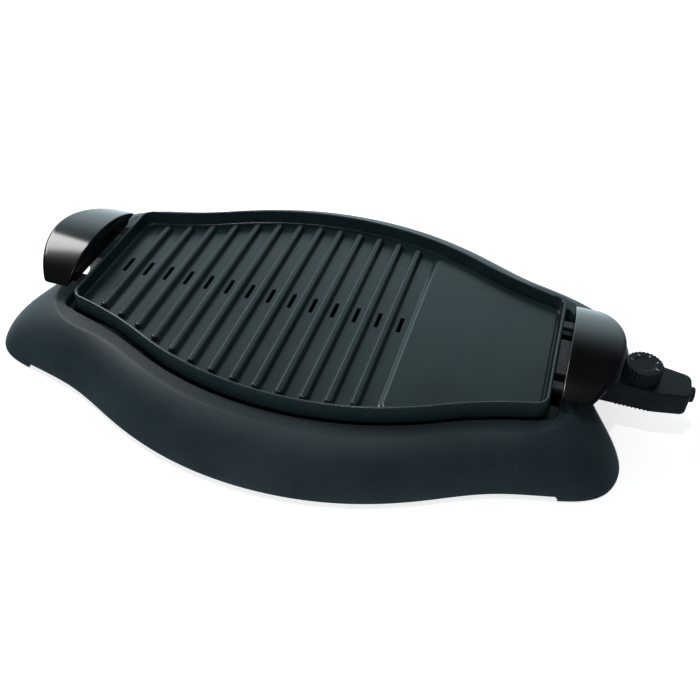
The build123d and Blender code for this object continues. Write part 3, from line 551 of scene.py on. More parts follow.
def cut_or_add(mesh, tool, operation):
    """One mesh with a tool mesh taken away, added, or kept only where both are."""
    body = bpy.data.objects.new("body_at_work", mesh)
    other = bpy.data.objects.new("tool_at_work", tool)
    for item in (body, other):
        bpy.context.scene.collection.objects.link(item)
    step = body.modifiers.new("step", "BOOLEAN")
    step.operation = operation
    step.solver = "EXACT"
    step.object = other
    depsgraph = bpy.context.evaluated_depsgraph_get()
    result = bpy.data.meshes.new_from_object(body.evaluated_get(depsgraph))
    bpy.data.objects.remove(body)
    bpy.data.objects.remove(other)
    return result


# %% The double-walled shell
shell_rings = [opening_ring(-2.0 * MM, WELL_FLOOR)]
for off, z in quarter_round(-2.0 * MM, WELL_FLOOR + 2 * MM, 2 * MM, -90, 0)[1:]:
    shell_rings.append(opening_ring(off, z))
for off, z in quarter_round(1.2 * MM, DECK - 1.2 * MM, 1.2 * MM, 180, 90):
    shell_rings.append(opening_ring(off, z))
shell_rings.append(opening_ring(2.2 * MM, DECK))
inner_wall = wall_mesh("inner_wall", shell_rings)

skirt_rings = [at_height(skirt_ring(0, 2.4 * MM), DECK), at_height(skirt_ring(0, 1.4 * MM), DECK),
               at_height(skirt_ring(0, 0.5 * MM), DECK - 0.06 * MM)]
for drop in (0.008, 0.02, 0.04, 0.07, 0.10, 0.15, 0.21, 0.28, 0.36, 0.45, 0.56, 0.68, 0.80, 0.90, 0.975):
    skirt_rings.append(skirt_ring(drop, 0.0))
skirt_rings += [skirt_ring(0.992, 0.25 * MM), skirt_ring(1.0, 0.8 * MM)]
for drop in (1.0, 0.95, 0.80, 0.56, 0.28, 0.10, 0.0):
    inner = skirt_ring(drop, BASE_WALL, DECK - BASE_WALL, FOOT if drop == 1.0 else FOOT - 0.5 * MM)
    skirt_rings.append(inner)
outer_wall = wall_mesh("outer_wall", skirt_rings)

well_rings = [opening_ring(BASE_WALL, DECK - BASE_WALL)]
for off, z in quarter_round(BASE_WALL - 2 * MM, WELL_FLOOR - BASE_WALL + 2 * MM, 2 * MM, 0, -90):
    well_rings.append(opening_ring(off, z))
well_wall = wall_mesh("well_wall", well_rings)

base_shell_mesh = join_meshes("base_shell", [
    inner_wall, outer_wall, well_wall,
    flat_sheet("floor", [shell_rings[0]]),
    flat_sheet("deck", [skirt_rings[0], shell_rings[-1]]),
    flat_sheet("deck_underside", [skirt_rings[-1], well_rings[0]]),
    flat_sheet("well_underside", [well_rings[-1]]),
])
clean_mesh(base_shell_mesh, 0.005 * MM)
print("shell:", len(base_shell_mesh.polygons), "faces")


# %% [markdown]
# Inside the shell stand four posts for the plate's legs and four bosses for the rubber feet, and
# each end has a hand notch lined with moulded walls. They are added as solids that stop halfway
# into the wall, so that no two surfaces lie on each other, and the notches and sockets are then
# cut in one go.

# %% Solids for the posts, bosses and cuts
def prism(name, profile, axis, start, stop):
    """A profile pushed along X, Y or Z. The profile's two numbers are the other two axes in order."""
    rings = []
    for level in (start, stop):
        ring = np.insert(np.array(profile, dtype=float), "XYZ".index(axis), level, axis=1)
        rings.append(ring)
    return ring_mesh(name, rings)


def circle(cx, cy, radius, steps=48):
    return [(cx + radius * math.cos(2 * math.pi * i / steps), cy + radius * math.sin(2 * math.pi * i / steps))
            for i in range(steps)]


def rounded_rectangle(cx, cy, half_x, half_y, corner, steps=6):
    outline = []
    for quarter, (sx, sy) in enumerate(((1, 1), (-1, 1), (-1, -1), (1, -1))):
        for i in range(steps + 1):
            a = math.pi / 2 * (quarter + i / steps)
            outline.append((cx + sx * (half_x - corner) + corner * math.cos(a),
                            cy + sy * (half_y - corner) + corner * math.sin(a)))
    return outline


LEG_Y = END_HALF_WIDTH - 14.7 * MM
FOOT_X = DECK_END + 8.5 * MM
FOOT_Y = END_HALF_WIDTH + OPENING_GAP + DECK_RING - 1 * MM
POST_TOP = pad_low.z
NOTCH_Y = 31 * MM
NOTCH_Z = DECK - 24 * MM
CORNERS = [(-1, -1), (1, -1), (-1, 1), (1, 1)]

inside_rings = [skirt_ring(drop, BASE_WALL / 2, DECK - BASE_WALL / 2, FOOT)
                for drop in (0, 0.1, 0.28, 0.56, 1.0)]
inside_solid = ring_mesh("inside_solid", inside_rings)
fillers = []
for sx in (-1, 1):
    liner = rounded_rectangle(0, 0.5 * (NOTCH_Z - BASE_WALL + 60 * MM), NOTCH_Y + BASE_WALL,
                              0.5 * (60 * MM - NOTCH_Z + BASE_WALL), 5 * MM)
    fillers.append(prism("liner", liner, "X", sx * (POCKET_X + BASE_WALL / 2), sx * 0.26))
for sx, sy in CORNERS:
    fillers.append(prism("boss", circle(sx * FOOT_X, sy * FOOT_Y, 10.5 * MM), "Z", FOOT, DECK + MM))
kept = cut_or_add(join_meshes("fillers", fillers), inside_solid, "INTERSECT")
posts = []
for sx, sy in CORNERS:
    post_x = sx * (POCKET_X - 18 * MM + 0.5 * 19 * MM)
    outline = rounded_rectangle(post_x, sy * LEG_Y, 9.5 * MM, 9 * MM, 1.5 * MM)
    lower = prism("post", outline, "Z", WELL_FLOOR - MM, POST_TOP)
    posts.append(lower)
additions = join_meshes("additions", [kept] + posts)

cuts = []
for sx in (-1, 1):
    notch = rounded_rectangle(0, 0.5 * (NOTCH_Z + 80 * MM), NOTCH_Y, 0.5 * (80 * MM - NOTCH_Z), 5 * MM)
    cuts.append(prism("notch", notch, "X", sx * PLATE_HALF_LENGTH, sx * 0.32))
for sx, sy in CORNERS:
    cuts.append(prism("socket", circle(sx * FOOT_X, sy * FOOT_Y, 8.05 * MM), "Z", -5 * MM, FOOT + 3 * MM))
edge_x = DECK_END - 3.5 * MM
low = FOOT + 4 * MM
raised = [(-edge_x, -5 * MM), (edge_x, -5 * MM), (edge_x, low - 2 * MM), (edge_x - 2 * MM, low),
          (2 * MM - edge_x, low), (-edge_x, low - 2 * MM)]
for sy in (-1, 1):
    cuts.append(prism("raised_edge", raised, "Y", sy * (END_HALF_WIDTH - 20 * MM), sy * 0.4))
base_shell_mesh = cut_or_add(base_shell_mesh, additions, "UNION")
base_shell_mesh = cut_or_add(base_shell_mesh, join_meshes("cuts", cuts), "DIFFERENCE")
clean_mesh(base_shell_mesh, 0.004 * MM)
base_shell = new_piece("base_shell", base_shell_mesh, 30)
mount(base_shell, "base", "base_plastic", "base_housing")


# %% [markdown]
# ## The drip tray
# A pressed sheet pan that catches what runs through the slots. It follows the plate's plan, only
# smaller, with a rolled lip to lift it by. Pressed sheet has no sharp bends, so every corner of
# its section is a few extra rings.

# %% Tray
tray_low, tray_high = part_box("drip_tray")
TRAY_PLAN = plate_plan(PLATE_HALF_LENGTH - 3.5 * MM)
sheet = 1.0 * MM
lip = -8 * MM
wall = lip - 3 * MM
section = [(lip, tray_high.z - sheet), (lip, tray_high.z - 0.3 * MM), (lip - 0.3 * MM, tray_high.z)]
section += quarter_round(wall + 0.4 * MM - sheet, tray_high.z - 0.4 * MM, 0.4 * MM, 90, 180, 3)
section += quarter_round(wall - sheet - 2 * MM, tray_low.z + sheet + 2 * MM, 2 * MM, 0, -90, 5)
outer_section = quarter_round(wall - 3 * MM, tray_low.z + 3 * MM, 3 * MM, -90, 0, 5)
outer_section += [(wall, tray_high.z - sheet - 0.4 * MM), (wall + 0.4 * MM, tray_high.z - sheet)]
tray_rings = [plan_ring(TRAY_PLAN, off, z) for off, z in reversed(section)]
tray_rings += [plan_ring(TRAY_PLAN, off, z) for off, z in reversed(outer_section)]
tray_mesh = join_meshes("tray_pan", [wall_mesh("tray_wall", tray_rings), flat_sheet("pan", [tray_rings[0]]),
                                     flat_sheet("pan_underside", [tray_rings[-1]])])
clean_mesh(tray_mesh, 0.005 * MM)
tray_pan = new_piece("tray_pan", tray_mesh, 40)
mount(tray_pan, "tray", "tray_aluminium", "drip_tray")


# %% [markdown]
# ## The cooking plate
# A die-cast aluminium plate with a dark coating. Casting leaves a soft radius on every edge: the
# rim's top is round and its foot runs into the floor. Fourteen slots go right through, so the floor
# is made as a sheet with holes, and each slot gets its own small wall with a broken edge.

# %% Rim, floor and slots
FLOOR_LOW = VALLEY - PLATE_FLOOR
RIB_PITCH = 20 * MM
RIB_COUNT = 13
FIRST_SLOT_X = -PLATE_HALF_LENGTH + 17.5 * MM
PAD_X = FIRST_SLOT_X + RIB_COUNT * RIB_PITCH + 11 * MM
foot_radius = 2.0 * MM
rim_section = [(-1.0 * MM, FLOOR_LOW)] + quarter_round(-1.0 * MM, FLOOR_LOW + MM, 1.0 * MM, -90, 0, 4)[1:]
rim_section += quarter_round(-1.3 * MM, RIM_TOP - 1.3 * MM, 1.3 * MM, 0, 90, 5)
rim_section += quarter_round(-1.5 * MM, RIM_TOP - 1.3 * MM, 1.3 * MM, 90, 180, 5)
rim_section += quarter_round(-RIM_WALL - foot_radius, VALLEY + foot_radius, foot_radius, 0, -90, 6)
rim_rings = [plan_ring(PLAN, off, z) for off, z in rim_section]
plate_parts = [wall_mesh("rim", rim_rings)]
slot_tops, slot_bottoms = [], []
for i in range(RIB_COUNT + 1):
    x = FIRST_SLOT_X + i * RIB_PITCH
    levels = []
    for grow, z in ((0.35, VALLEY), (0.12, VALLEY - 0.12 * MM), (0.0, VALLEY - 0.4 * MM),
                    (0.0, FLOOR_LOW + 0.3 * MM), (0.3, FLOOR_LOW)):
        g = grow * MM
        outline = np.array(rounded_rectangle(x, 0, 1.7 * MM + g, 10.25 * MM + g, 0.5 * MM + g, 4))
        levels.append(np.column_stack([outline, np.full(len(outline), z)]))
    plate_parts.append(wall_mesh("slot", levels))
    slot_tops.append(levels[0])
    slot_bottoms.append(levels[-1])
plate_parts.append(flat_sheet("floor_top", [rim_rings[-1]] + slot_tops))
plate_parts.append(flat_sheet("floor_bottom", [rim_rings[0]] + slot_bottoms))
plate_mesh = join_meshes("plate_casting", plate_parts)
clean_mesh(plate_mesh, 0.004 * MM)
print("plate:", len(plate_mesh.polygons), "faces,", RIB_COUNT + 1, "slots")


# %% [markdown]
# At the right the plate has a raised pad for eggs and pancakes. Its outline is the plate's plan
# moved inwards, cut off by a straight step with two round corners.

# %% Raised pad
def outline_with_directions(points):
    p = np.array(points)
    along = np.roll(p, -1, 0) - np.roll(p, 1, 0)
    along /= np.linalg.norm(along, axis=1)[:, None]
    return np.column_stack([p, along[:, 1], -along[:, 0]])


PAD_GAP = RIM_WALL + 3.2 * MM
pad_edge = PLAN[:, :2] - PLAN[:, 2:] * PAD_GAP
right_side = [tuple(p) for p in pad_edge if p[0] > PAD_X + 9 * MM]
rear = sorted([p for p in right_side if p[1] >= 0], key=lambda p: math.atan2(p[1], p[0] - PAD_X - 20 * MM))
front = [(x, -y) for x, y in rear[::-1] if y > 0]
rear_y = rear[-1][1]
corner = 9 * MM
outline = front + rear
for i in range(1, 9):
    a = math.pi / 2 + math.pi / 2 * i / 9
    outline.append((PAD_X + corner + corner * math.cos(a), rear_y - corner + corner * math.sin(a)))
for i in range(13):
    outline.append((PAD_X, (rear_y - corner) * (1 - i / 6)))
for i in range(1, 9):
    a = math.pi + math.pi / 2 * i / 9
    outline.append((PAD_X + corner + corner * math.cos(a), corner - rear_y + corner * math.sin(a)))
PAD_PLAN = outline_with_directions(outline)
PAD_RISE = 3 * MM
pad_top = VALLEY + PAD_RISE
pad_section = [(0.5 * MM, VALLEY - 0.3 * MM), (0.5 * MM, VALLEY + 0.05 * MM), (0.12 * MM, VALLEY + 0.5 * MM)]
pad_section += quarter_round(-0.9 * MM, pad_top - 0.9 * MM, 0.9 * MM, 0, 90, 5)
pad_rings = []
for off, z in pad_section:
    ring = plan_ring(PAD_PLAN, off, z)
    step_side = np.clip((PAD_X + 6 * MM - ring[:, 0]) / (6 * MM), 0, 1)
    ring[:, 0] -= step_side * 3.5 * MM * (1 - (z - VALLEY) / (pad_top - VALLEY))
    pad_rings.append(ring)
pad_mesh = join_meshes("pad", [wall_mesh("pad_wall", pad_rings), flat_sheet("pad_top", [pad_rings[-1]]),
                               flat_sheet("pad_low", [pad_rings[0]])])
clean_mesh(pad_mesh, 0.004 * MM)
print("pad from x", round(PAD_X, 4), "half width", round(rear_y, 4))


# %% [markdown]
# Under the plate run the ridge that holds the heating element, the socket for the probe and four
# legs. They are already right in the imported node, so a copy of it is cleaned and everything
# above the plate's underside is dropped.

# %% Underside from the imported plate
def packed_copy(node, keep=None):
    """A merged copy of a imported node, keeping only the faces that pass a test on their vertices."""
    mesh = frame["nodes"][node].data.copy()
    mesh.materials.clear()
    work = bmesh.new()
    work.from_mesh(mesh)
    bmesh.ops.remove_doubles(work, verts=work.verts, dist=0.01 * MM)
    if keep:
        drop = [f for f in work.faces if not keep([v.co for v in f.verts])]
        bmesh.ops.delete(work, geom=drop, context="FACES")
    work.to_mesh(mesh)
    work.free()
    return mesh


underside = packed_copy("cooking_plate", lambda spots: min(p.z for p in spots) < FLOOR_LOW - 0.05 * MM)
plate_mesh = join_meshes("plate_casting", [plate_mesh, pad_mesh, underside])
plate_casting = new_piece("plate_casting", plate_mesh, 32)
mount(plate_casting, "plate", "nonstick_plate", "cooking_plate")


# %% [markdown]
# ## The ribs
# Thirteen ribs cross the plate, each as long as the plate is wide there. Drawing thirteen of them
# by hand would mean thirteen lengths to keep right. Geometry Nodes need one short rib: it is put on
# every point of a row, and its two halves are then pulled apart by the length stored on its point.

# %% Node tree helpers
def node_group(name, sizes):
    group = bpy.data.node_groups.new(name, "GeometryNodeTree")
    group.interface.new_socket("Geometry", in_out="INPUT", socket_type="NodeSocketGeometry")
    for label, kind, value in sizes:
        socket = group.interface.new_socket(label, in_out="INPUT", socket_type=kind)
        if value is not None:
            socket.default_value = value
    group.interface.new_socket("Geometry", in_out="OUTPUT", socket_type="NodeSocketGeometry")
    return group, group.nodes.new("NodeGroupInput"), group.nodes.new("NodeGroupOutput")


def grown_by_nodes(name, mesh, group, inputs):
    """Run a node tree on a mesh and return the result as one plain mesh."""
    source = bpy.data.objects.new(name, mesh)
    bpy.context.scene.collection.objects.link(source)
    step = source.modifiers.new("nodes", "NODES")
    step.node_group = group
    for item in group.interface.items_tree:
        if item.item_type == "SOCKET" and item.in_out == "INPUT" and item.name in inputs:
            step[item.identifier] = inputs[item.name]
    depsgraph = bpy.context.evaluated_depsgraph_get()
    result = bpy.data.meshes.new_from_object(source.evaluated_get(depsgraph))
    bpy.data.objects.remove(source)
    return result


# %% Rib tree
def rib_tree():
    group, enter, leave = node_group("rib_row", [("Rib", "NodeSocketObject", None),
                                                 ("Finish", "NodeSocketMaterial", None)])
    new, link = group.nodes.new, group.links.new
    rib = new("GeometryNodeObjectInfo")
    link(enter.outputs["Rib"], rib.inputs["Object"])
    place = new("GeometryNodeInstanceOnPoints")
    link(enter.outputs["Geometry"], place.inputs["Points"])
    link(rib.outputs["Geometry"], place.inputs["Instance"])
    real = new("GeometryNodeRealizeInstances")
    link(place.outputs["Instances"], real.inputs["Geometry"])
    stretch = new("GeometryNodeInputNamedAttribute")
    stretch.data_type = "FLOAT"
    stretch.inputs["Name"].default_value = "stretch"
    position = new("GeometryNodeInputPosition")
    split = new("ShaderNodeSeparateXYZ")
    link(position.outputs[0], split.inputs[0])
    side = new("ShaderNodeMath")
    side.operation = "SIGN"
    link(split.outputs["Y"], side.inputs[0])
    pull = new("ShaderNodeMath")
    pull.operation = "MULTIPLY"
    link(side.outputs[0], pull.inputs[0])
    link(stretch.outputs["Attribute"], pull.inputs[1])
    offset = new("ShaderNodeCombineXYZ")
    link(pull.outputs[0], offset.inputs["Y"])
    move = new("GeometryNodeSetPosition")
    link(real.outputs["Geometry"], move.inputs["Geometry"])
    link(offset.outputs[0], move.inputs["Offset"])
    again = new("GeometryNodeRealizeInstances")
    link(move.outputs["Geometry"], again.inputs["Geometry"])
    paint = new("GeometryNodeSetMaterial")
    link(again.outputs["Geometry"], paint.inputs["Geometry"])
    link(enter.outputs["Finish"], paint.inputs["Material"])
    link(paint.outputs["Geometry"], leave.inputs["Geometry"])
    return group


# %% One short rib and a row of points
RIB_HALF = 4.5 * MM
RIB_HEIGHT = 4.8 * MM
short_half = 8 * MM
rib_outline = outline_with_directions(rounded_rectangle(0, 0, RIB_HALF, short_half, 4.4 * MM, 10))
rib_section = [(0.5 * MM, VALLEY - 0.2 * MM), (0.45 * MM, VALLEY + 0.03 * MM), (0.1 * MM, VALLEY + 0.14 * MM),
               (-0.15 * MM, VALLEY + 0.5 * MM), (-1.15 * MM, VALLEY + RIB_HEIGHT - 1.9 * MM)]
rib_section += quarter_round(-3.35 * MM, VALLEY + RIB_HEIGHT - 2.1 * MM, 2.1 * MM, 20, 90, 8)
rib_rings = [plan_ring(rib_outline, off, z) for off, z in rib_section]
short_rib = bpy.data.objects.new("short_rib", ring_mesh("short_rib", rib_rings))
bpy.context.scene.collection.objects.link(short_rib)
rib_points = bpy.data.meshes.new("rib_points")
rib_x = [FIRST_SLOT_X + (i + 0.5) * RIB_PITCH for i in range(RIB_COUNT)]
rib_points.from_pydata([(x, 0, 0) for x in rib_x], [], [])
lengths = rib_points.attributes.new("stretch", "FLOAT", "POINT")
lengths.data.foreach_set("value", [half_width(x) - 11 * MM - short_half for x in rib_x])
rib_inputs = {"Rib": short_rib, "Finish": FINISHES["nonstick_plate"]}
rib_mesh = grown_by_nodes("rib_row", rib_points, rib_tree(), rib_inputs)
bpy.data.objects.remove(short_rib)
ribs = new_piece("plate_ribs", rib_mesh, 50)
mount(ribs, "plate", "nonstick_plate", "cooking_plate")


# %% [markdown]
# ## The ears
# Four flat ears stand out of the plate's ends to carry the handles. Their tops are left bare metal,
# so they are pieces of their own with a brushed finish.

# %% Ears
ear_meshes = []
for sx, sy in CORNERS:
    middle = sx * (PLATE_HALF_LENGTH + 8.0 * MM)
    outline = outline_with_directions(rounded_rectangle(middle, sy * 40 * MM, 9.5 * MM, 4.25 * MM, 1.2 * MM))
    low, high = DECK + 4 * MM, DECK + 8 * MM
    section = quarter_round(-0.5 * MM, low + 0.5 * MM, 0.5 * MM, -90, 0, 3)
    section += quarter_round(-0.5 * MM, high - 0.5 * MM, 0.5 * MM, 0, 90, 3)
    ear_meshes.append(ring_mesh("ear", [plan_ring(outline, off, z) for off, z in section]))
ears = new_piece("plate_ears", join_meshes("plate_ears", ear_meshes), 40)
mount(ears, "plate", "guard_steel", "cooking_plate")


# %% [markdown]
# ## The handles
# Each handle is an arched D of glossy thermoplastic, hollow underneath. A gloss surface shows every
# edge as a bright line, so the brow between its top and its side needs a true radius. Again it is
# rings: each ring is the D moved inwards, and each point takes its height from the arch.

# %% The D-shaped plan and the arch
HANDLE_X = PLATE_HALF_LENGTH + 8 * MM
HANDLE_HALF = 62 * MM
SIDE_X = HANDLE_X + 22 * MM
BOW_X = SIDE_X + 21.5 * MM
ARCH_TOP = handle_high.z
ARCH_END = DECK + 13.1 * MM
LOWER_TOP = DECK + 22 * MM
EDGE_Z = DECK + 11.5 * MM
WALL = 2.8 * MM


def arc_height(y, half, low, high):
    """Height of an arc that is low at plus and minus half and high in the middle."""
    rise = high - low
    radius = (half ** 2 + rise ** 2) / (2 * rise)
    return high - radius + math.sqrt(max(radius ** 2 - y ** 2, 0.0))


def arch(y):
    return arc_height(y, HANDLE_HALF, ARCH_END, ARCH_TOP)


def lower_edge(y):
    if abs(y) >= HANDLE_HALF - WALL:
        return EDGE_Z
    return max(EDGE_Z, arc_height(y, HANDLE_HALF - WALL, EDGE_Z, LOWER_TOP))


# %% D plan as points with directions
def handle_plan():
    bow = BOW_X - SIDE_X
    radius = (HANDLE_HALF ** 2 + bow ** 2) / (2 * bow)
    centre_x = BOW_X - radius
    r = 7 * MM
    y_in = HANDLE_HALF - r
    x_in = centre_x + math.sqrt((radius - r) ** 2 - y_in ** 2)
    end_turn = math.atan2(y_in, x_in - centre_x)
    quarter = []
    for i in range(28):
        a = end_turn * i / 28
        quarter.append((centre_x + radius * math.cos(a), radius * math.sin(a), math.cos(a), math.sin(a)))
    for i in range(9):
        a = end_turn + (math.pi / 2 - end_turn) * i / 8
        quarter.append((x_in + r * math.cos(a), y_in + r * math.sin(a), math.cos(a), math.sin(a)))
    small = 1.5 * MM
    for i in range(1, 8):
        x = x_in + (HANDLE_X + small - x_in) * i / 8
        quarter.append((x, HANDLE_HALF, 0.0, 1.0))
    for i in range(5):
        a = math.pi / 2 + math.pi / 2 * i / 4
        quarter.append((HANDLE_X + small + small * math.cos(a), HANDLE_HALF - small + small * math.sin(a),
                        math.cos(a), math.sin(a)))
    for i in range(1, 31):
        quarter.append((HANDLE_X, (HANDLE_HALF - small) * (1 - i / 30), -1.0, 0.0))
    mirrored = [(x, -y, nx, -ny) for x, y, nx, ny in quarter[-2:0:-1]]
    return np.array(quarter + mirrored)


HANDLE_PLAN = handle_plan()


def handle_ring(inset, drop_rule, gather=0.0):
    """A ring of the D moved inwards, gathered towards its long middle line."""
    spine_x = HANDLE_X + 18 * MM
    ring = np.empty((len(HANDLE_PLAN), 3))
    for i, (x, y, nx, ny) in enumerate(HANDLE_PLAN):
        step = inset(nx, y) if callable(inset) else inset
        px, py = x - nx * step, y - ny * step
        spine_y = max(-46 * MM, min(46 * MM, py))
        px += (spine_x - px) * gather
        py += (spine_y - py) * gather
        ring[i] = (px, py, drop_rule(nx, py, y))
    return ring


# %% The handle shell
def brow(nx, y):
    """The brow's radius: full along the bow, small at the thin ends and at the inner edge."""
    size = 0.9 * MM if nx < -0.5 else 3.2 * MM
    return min(size, 0.5 * (arch(y) - lower_edge(y)))


def wall_low(nx, y):
    if nx < -0.5:
        share = min(max((52 * MM - abs(y)) / (3 * MM), 0.0), 1.0)
        return EDGE_Z + (DECK + 8.05 * MM - EDGE_Z) * share
    return min(lower_edge(y), arch(y) - 1.2 * MM)


def ceiling(y):
    return max(arch(y) - WALL, lower_edge(y)) if abs(y) < HANDLE_HALF - WALL else EDGE_Z


def handle_mesh():
    rings = []
    for gather in (1.0, 0.8, 0.6, 0.4, 0.2, 0.06):
        rings.append(handle_ring(brow, lambda nx, py, y: arch(py), gather))
    for i in range(9):
        a = math.pi / 2 * (1 - i / 8)
        rings.append(handle_ring(lambda nx, y, a=a: brow(nx, y) * (1 - math.cos(a)),
                                 lambda nx, py, y, a=a: arch(py) - brow(nx, y) * (1 - math.sin(a))))
    rings.append(handle_ring(0.0, lambda nx, py, y: wall_low(nx, y) + 0.3 * MM))
    rings.append(handle_ring(0.3 * MM, lambda nx, py, y: wall_low(nx, y)))
    rings.append(handle_ring(WALL, lambda nx, py, y: min(wall_low(nx, y), ceiling(py))))
    rings.append(handle_ring(WALL + 0.2 * MM, lambda nx, py, y: ceiling(py)))
    for gather in (0.2, 0.4, 0.6, 0.8, 1.0):
        rings.append(handle_ring(WALL + 0.2 * MM, lambda nx, py, y: ceiling(py), gather))
    return wall_mesh("handle", rings)


# %% Bosses, and the same shell for both ends
def handle_piece(name, sign):
    shell = handle_mesh()
    clean_mesh(shell, 0.02 * MM)
    bosses = []
    for sy in (-1, 1):
        outline = outline_with_directions(circle(PLATE_HALF_LENGTH + 13.1 * MM, sy * 40 * MM, 4.4 * MM, 32))
        section = [(-0.4 * MM, DECK + 8 * MM), (0, DECK + 8.4 * MM), (0, arch(44.4 * MM) - 1.8 * MM),
                   (-0.4 * MM, arch(44.4 * MM) - 1.5 * MM)]
        bosses.append(ring_mesh("boss", [plan_ring(outline, off, z) for off, z in section]))
    mesh = join_meshes(name, [shell] + bosses)
    if sign < 0:
        mesh.transform(Matrix.Scale(-1, 4, (1, 0, 0)))
        clean_mesh(mesh, 0.004 * MM)
    piece = new_piece(name, mesh, 40)
    mount(piece, "plate", "handle_gloss", f"{name.split('_')[0]}_handle")
    return piece


for grip_name, end in (("right_grip", 1), ("left_grip", -1)):
    handle_piece(grip_name, end)
print("handle arch:", round(arch(0), 4), "packed top", round(handle_high.z, 4))


# %% [markdown]
# ## The temperature control
# A plug-in box in two halves: a lower tub with grip ribs beside the dial, and a lid with a softened
# brow. Where they meet the real moulding has a fine groove, and that line is what makes it read as
# two parts, so both halves stop a hair short of each other.

# %% Control plan and halves
control_low, control_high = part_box("control_lower_housing")
lid_low, lid_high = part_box("control_upper_housing")
knob_low, knob_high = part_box("control_knob")
KNOB_X = 0.5 * (knob_low.x + knob_high.x)
KNOB_RADIUS = 0.5 * (knob_high.x - knob_low.x)
CONTROL_HALF = lid_high.y
NOSE_HALF = 13.6 * MM


def control_outline():
    x0, x1 = lid_low.x, lid_high.x
    shoulder = KNOB_X + 0.9 * KNOB_RADIUS
    lean = math.atan2(CONTROL_HALF - NOSE_HALF, x1 - shoulder)
    r = 7 * MM
    corner_x = x1 - r
    corner_y = NOSE_HALF + (x1 - corner_x) * math.tan(lean) - r / math.cos(lean)
    quarter = [(x1, corner_y * i / 6, 1.0, 0.0) for i in range(6)]
    for i in range(9):
        a = (math.pi / 2 - lean) * i / 8
        quarter.append((corner_x + r * math.cos(a), corner_y + r * math.sin(a), math.cos(a), math.sin(a)))
    for i in range(5):
        a = math.pi / 2 - lean * (1 - i / 4)
        step = (4 - i) * 0.4 * MM
        quarter.append((shoulder + step, CONTROL_HALF - step * math.tan(lean) * 0.5,
                        math.cos(a), math.sin(a)))
    small = 1.0 * MM
    for i in range(1, 11):
        quarter.append((shoulder + (x0 + small - shoulder) * i / 10, CONTROL_HALF, 0.0, 1.0))
    for i in range(1, 5):
        a = math.pi / 2 + math.pi / 2 * i / 4
        quarter.append((x0 + small + small * math.cos(a), CONTROL_HALF - small + small * math.sin(a),
                        math.cos(a), math.sin(a)))
    quarter += [(x0, (CONTROL_HALF - small) * (1 - i / 6), -1.0, 0.0) for i in range(1, 7)]
    return np.array(quarter + [(x, -y, nx, -ny) for x, y, nx, ny in quarter[-2:0:-1]])


CONTROL_PLAN = control_outline()
tub_section = quarter_round(-1.5 * MM, control_low.z + 1.5 * MM, 1.5 * MM, -90, 0, 5)
tub_section += [(0, lid_low.z - 0.35 * MM), (-0.35 * MM, lid_low.z - 0.05 * MM), (-0.6 * MM, lid_low.z)]
tub = ring_mesh("tub", [plan_ring(CONTROL_PLAN, off, z) for off, z in tub_section])
lid_section = [(-0.6 * MM, lid_low.z), (-0.3 * MM, lid_low.z + 0.05 * MM), (0, lid_low.z + 0.3 * MM)]
lid_section += quarter_round(-1.6 * MM, lid_high.z - 1.6 * MM, 1.6 * MM, 0, 90, 6)
lid = ring_mesh("lid", [plan_ring(CONTROL_PLAN, off, z) for off, z in lid_section])

# %% Openings for the probe, the pins and the gland
probe_low, probe_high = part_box("probe_rod")
PLUG_Z = 0.5 * (probe_low.z + probe_high.z)
GLAND_Z = DECK - 5 * MM
holes = [prism("hole", circle(0, PLUG_Z, 3.3 * MM), "X", lid_low.x - MM, lid_low.x + 8 * MM)]
for sy in (-1, 1):
    pin_hole = circle(sy * 12.5 * MM, PLUG_Z, 3.55 * MM)
    holes.append(prism("hole", pin_hole, "X", lid_low.x - MM, lid_low.x + 20 * MM))
nose = prism("nose", circle(0, GLAND_Z, 6.45 * MM), "X", lid_high.x - 6 * MM, lid_high.x + 2 * MM)
tub = cut_or_add(tub, join_meshes("holes", holes + [nose]), "DIFFERENCE")
lid = cut_or_add(lid, nose, "DIFFERENCE")


# %% [markdown]
# The grip ribs on the tub's two sides are one small bar repeated along a line. Geometry Nodes make
# the line, put the bar on it and turn the result into plain geometry, and the spacing is a number
# on the tree that can be changed in one place.

# %% Grip ribs along a line
def grip_tree():
    group, enter, leave = node_group("grip_line", [
        ("Bar", "NodeSocketObject", None), ("Count", "NodeSocketInt", 9), ("Start", "NodeSocketVector", None),
        ("Step", "NodeSocketVector", None), ("Finish", "NodeSocketMaterial", None)])
    new, link = group.nodes.new, group.links.new
    bar = new("GeometryNodeObjectInfo")
    link(enter.outputs["Bar"], bar.inputs["Object"])
    line = new("GeometryNodeMeshLine")
    link(enter.outputs["Count"], line.inputs["Count"])
    link(enter.outputs["Start"], line.inputs["Start Location"])
    link(enter.outputs["Step"], line.inputs["Offset"])
    place = new("GeometryNodeInstanceOnPoints")
    link(line.outputs["Mesh"], place.inputs["Points"])
    link(bar.outputs["Geometry"], place.inputs["Instance"])
    real = new("GeometryNodeRealizeInstances")
    link(place.outputs["Instances"], real.inputs["Geometry"])
    paint = new("GeometryNodeSetMaterial")
    link(real.outputs["Geometry"], paint.inputs["Geometry"])
    link(enter.outputs["Finish"], paint.inputs["Material"])
    link(paint.outputs["Geometry"], leave.inputs["Geometry"])
    return group


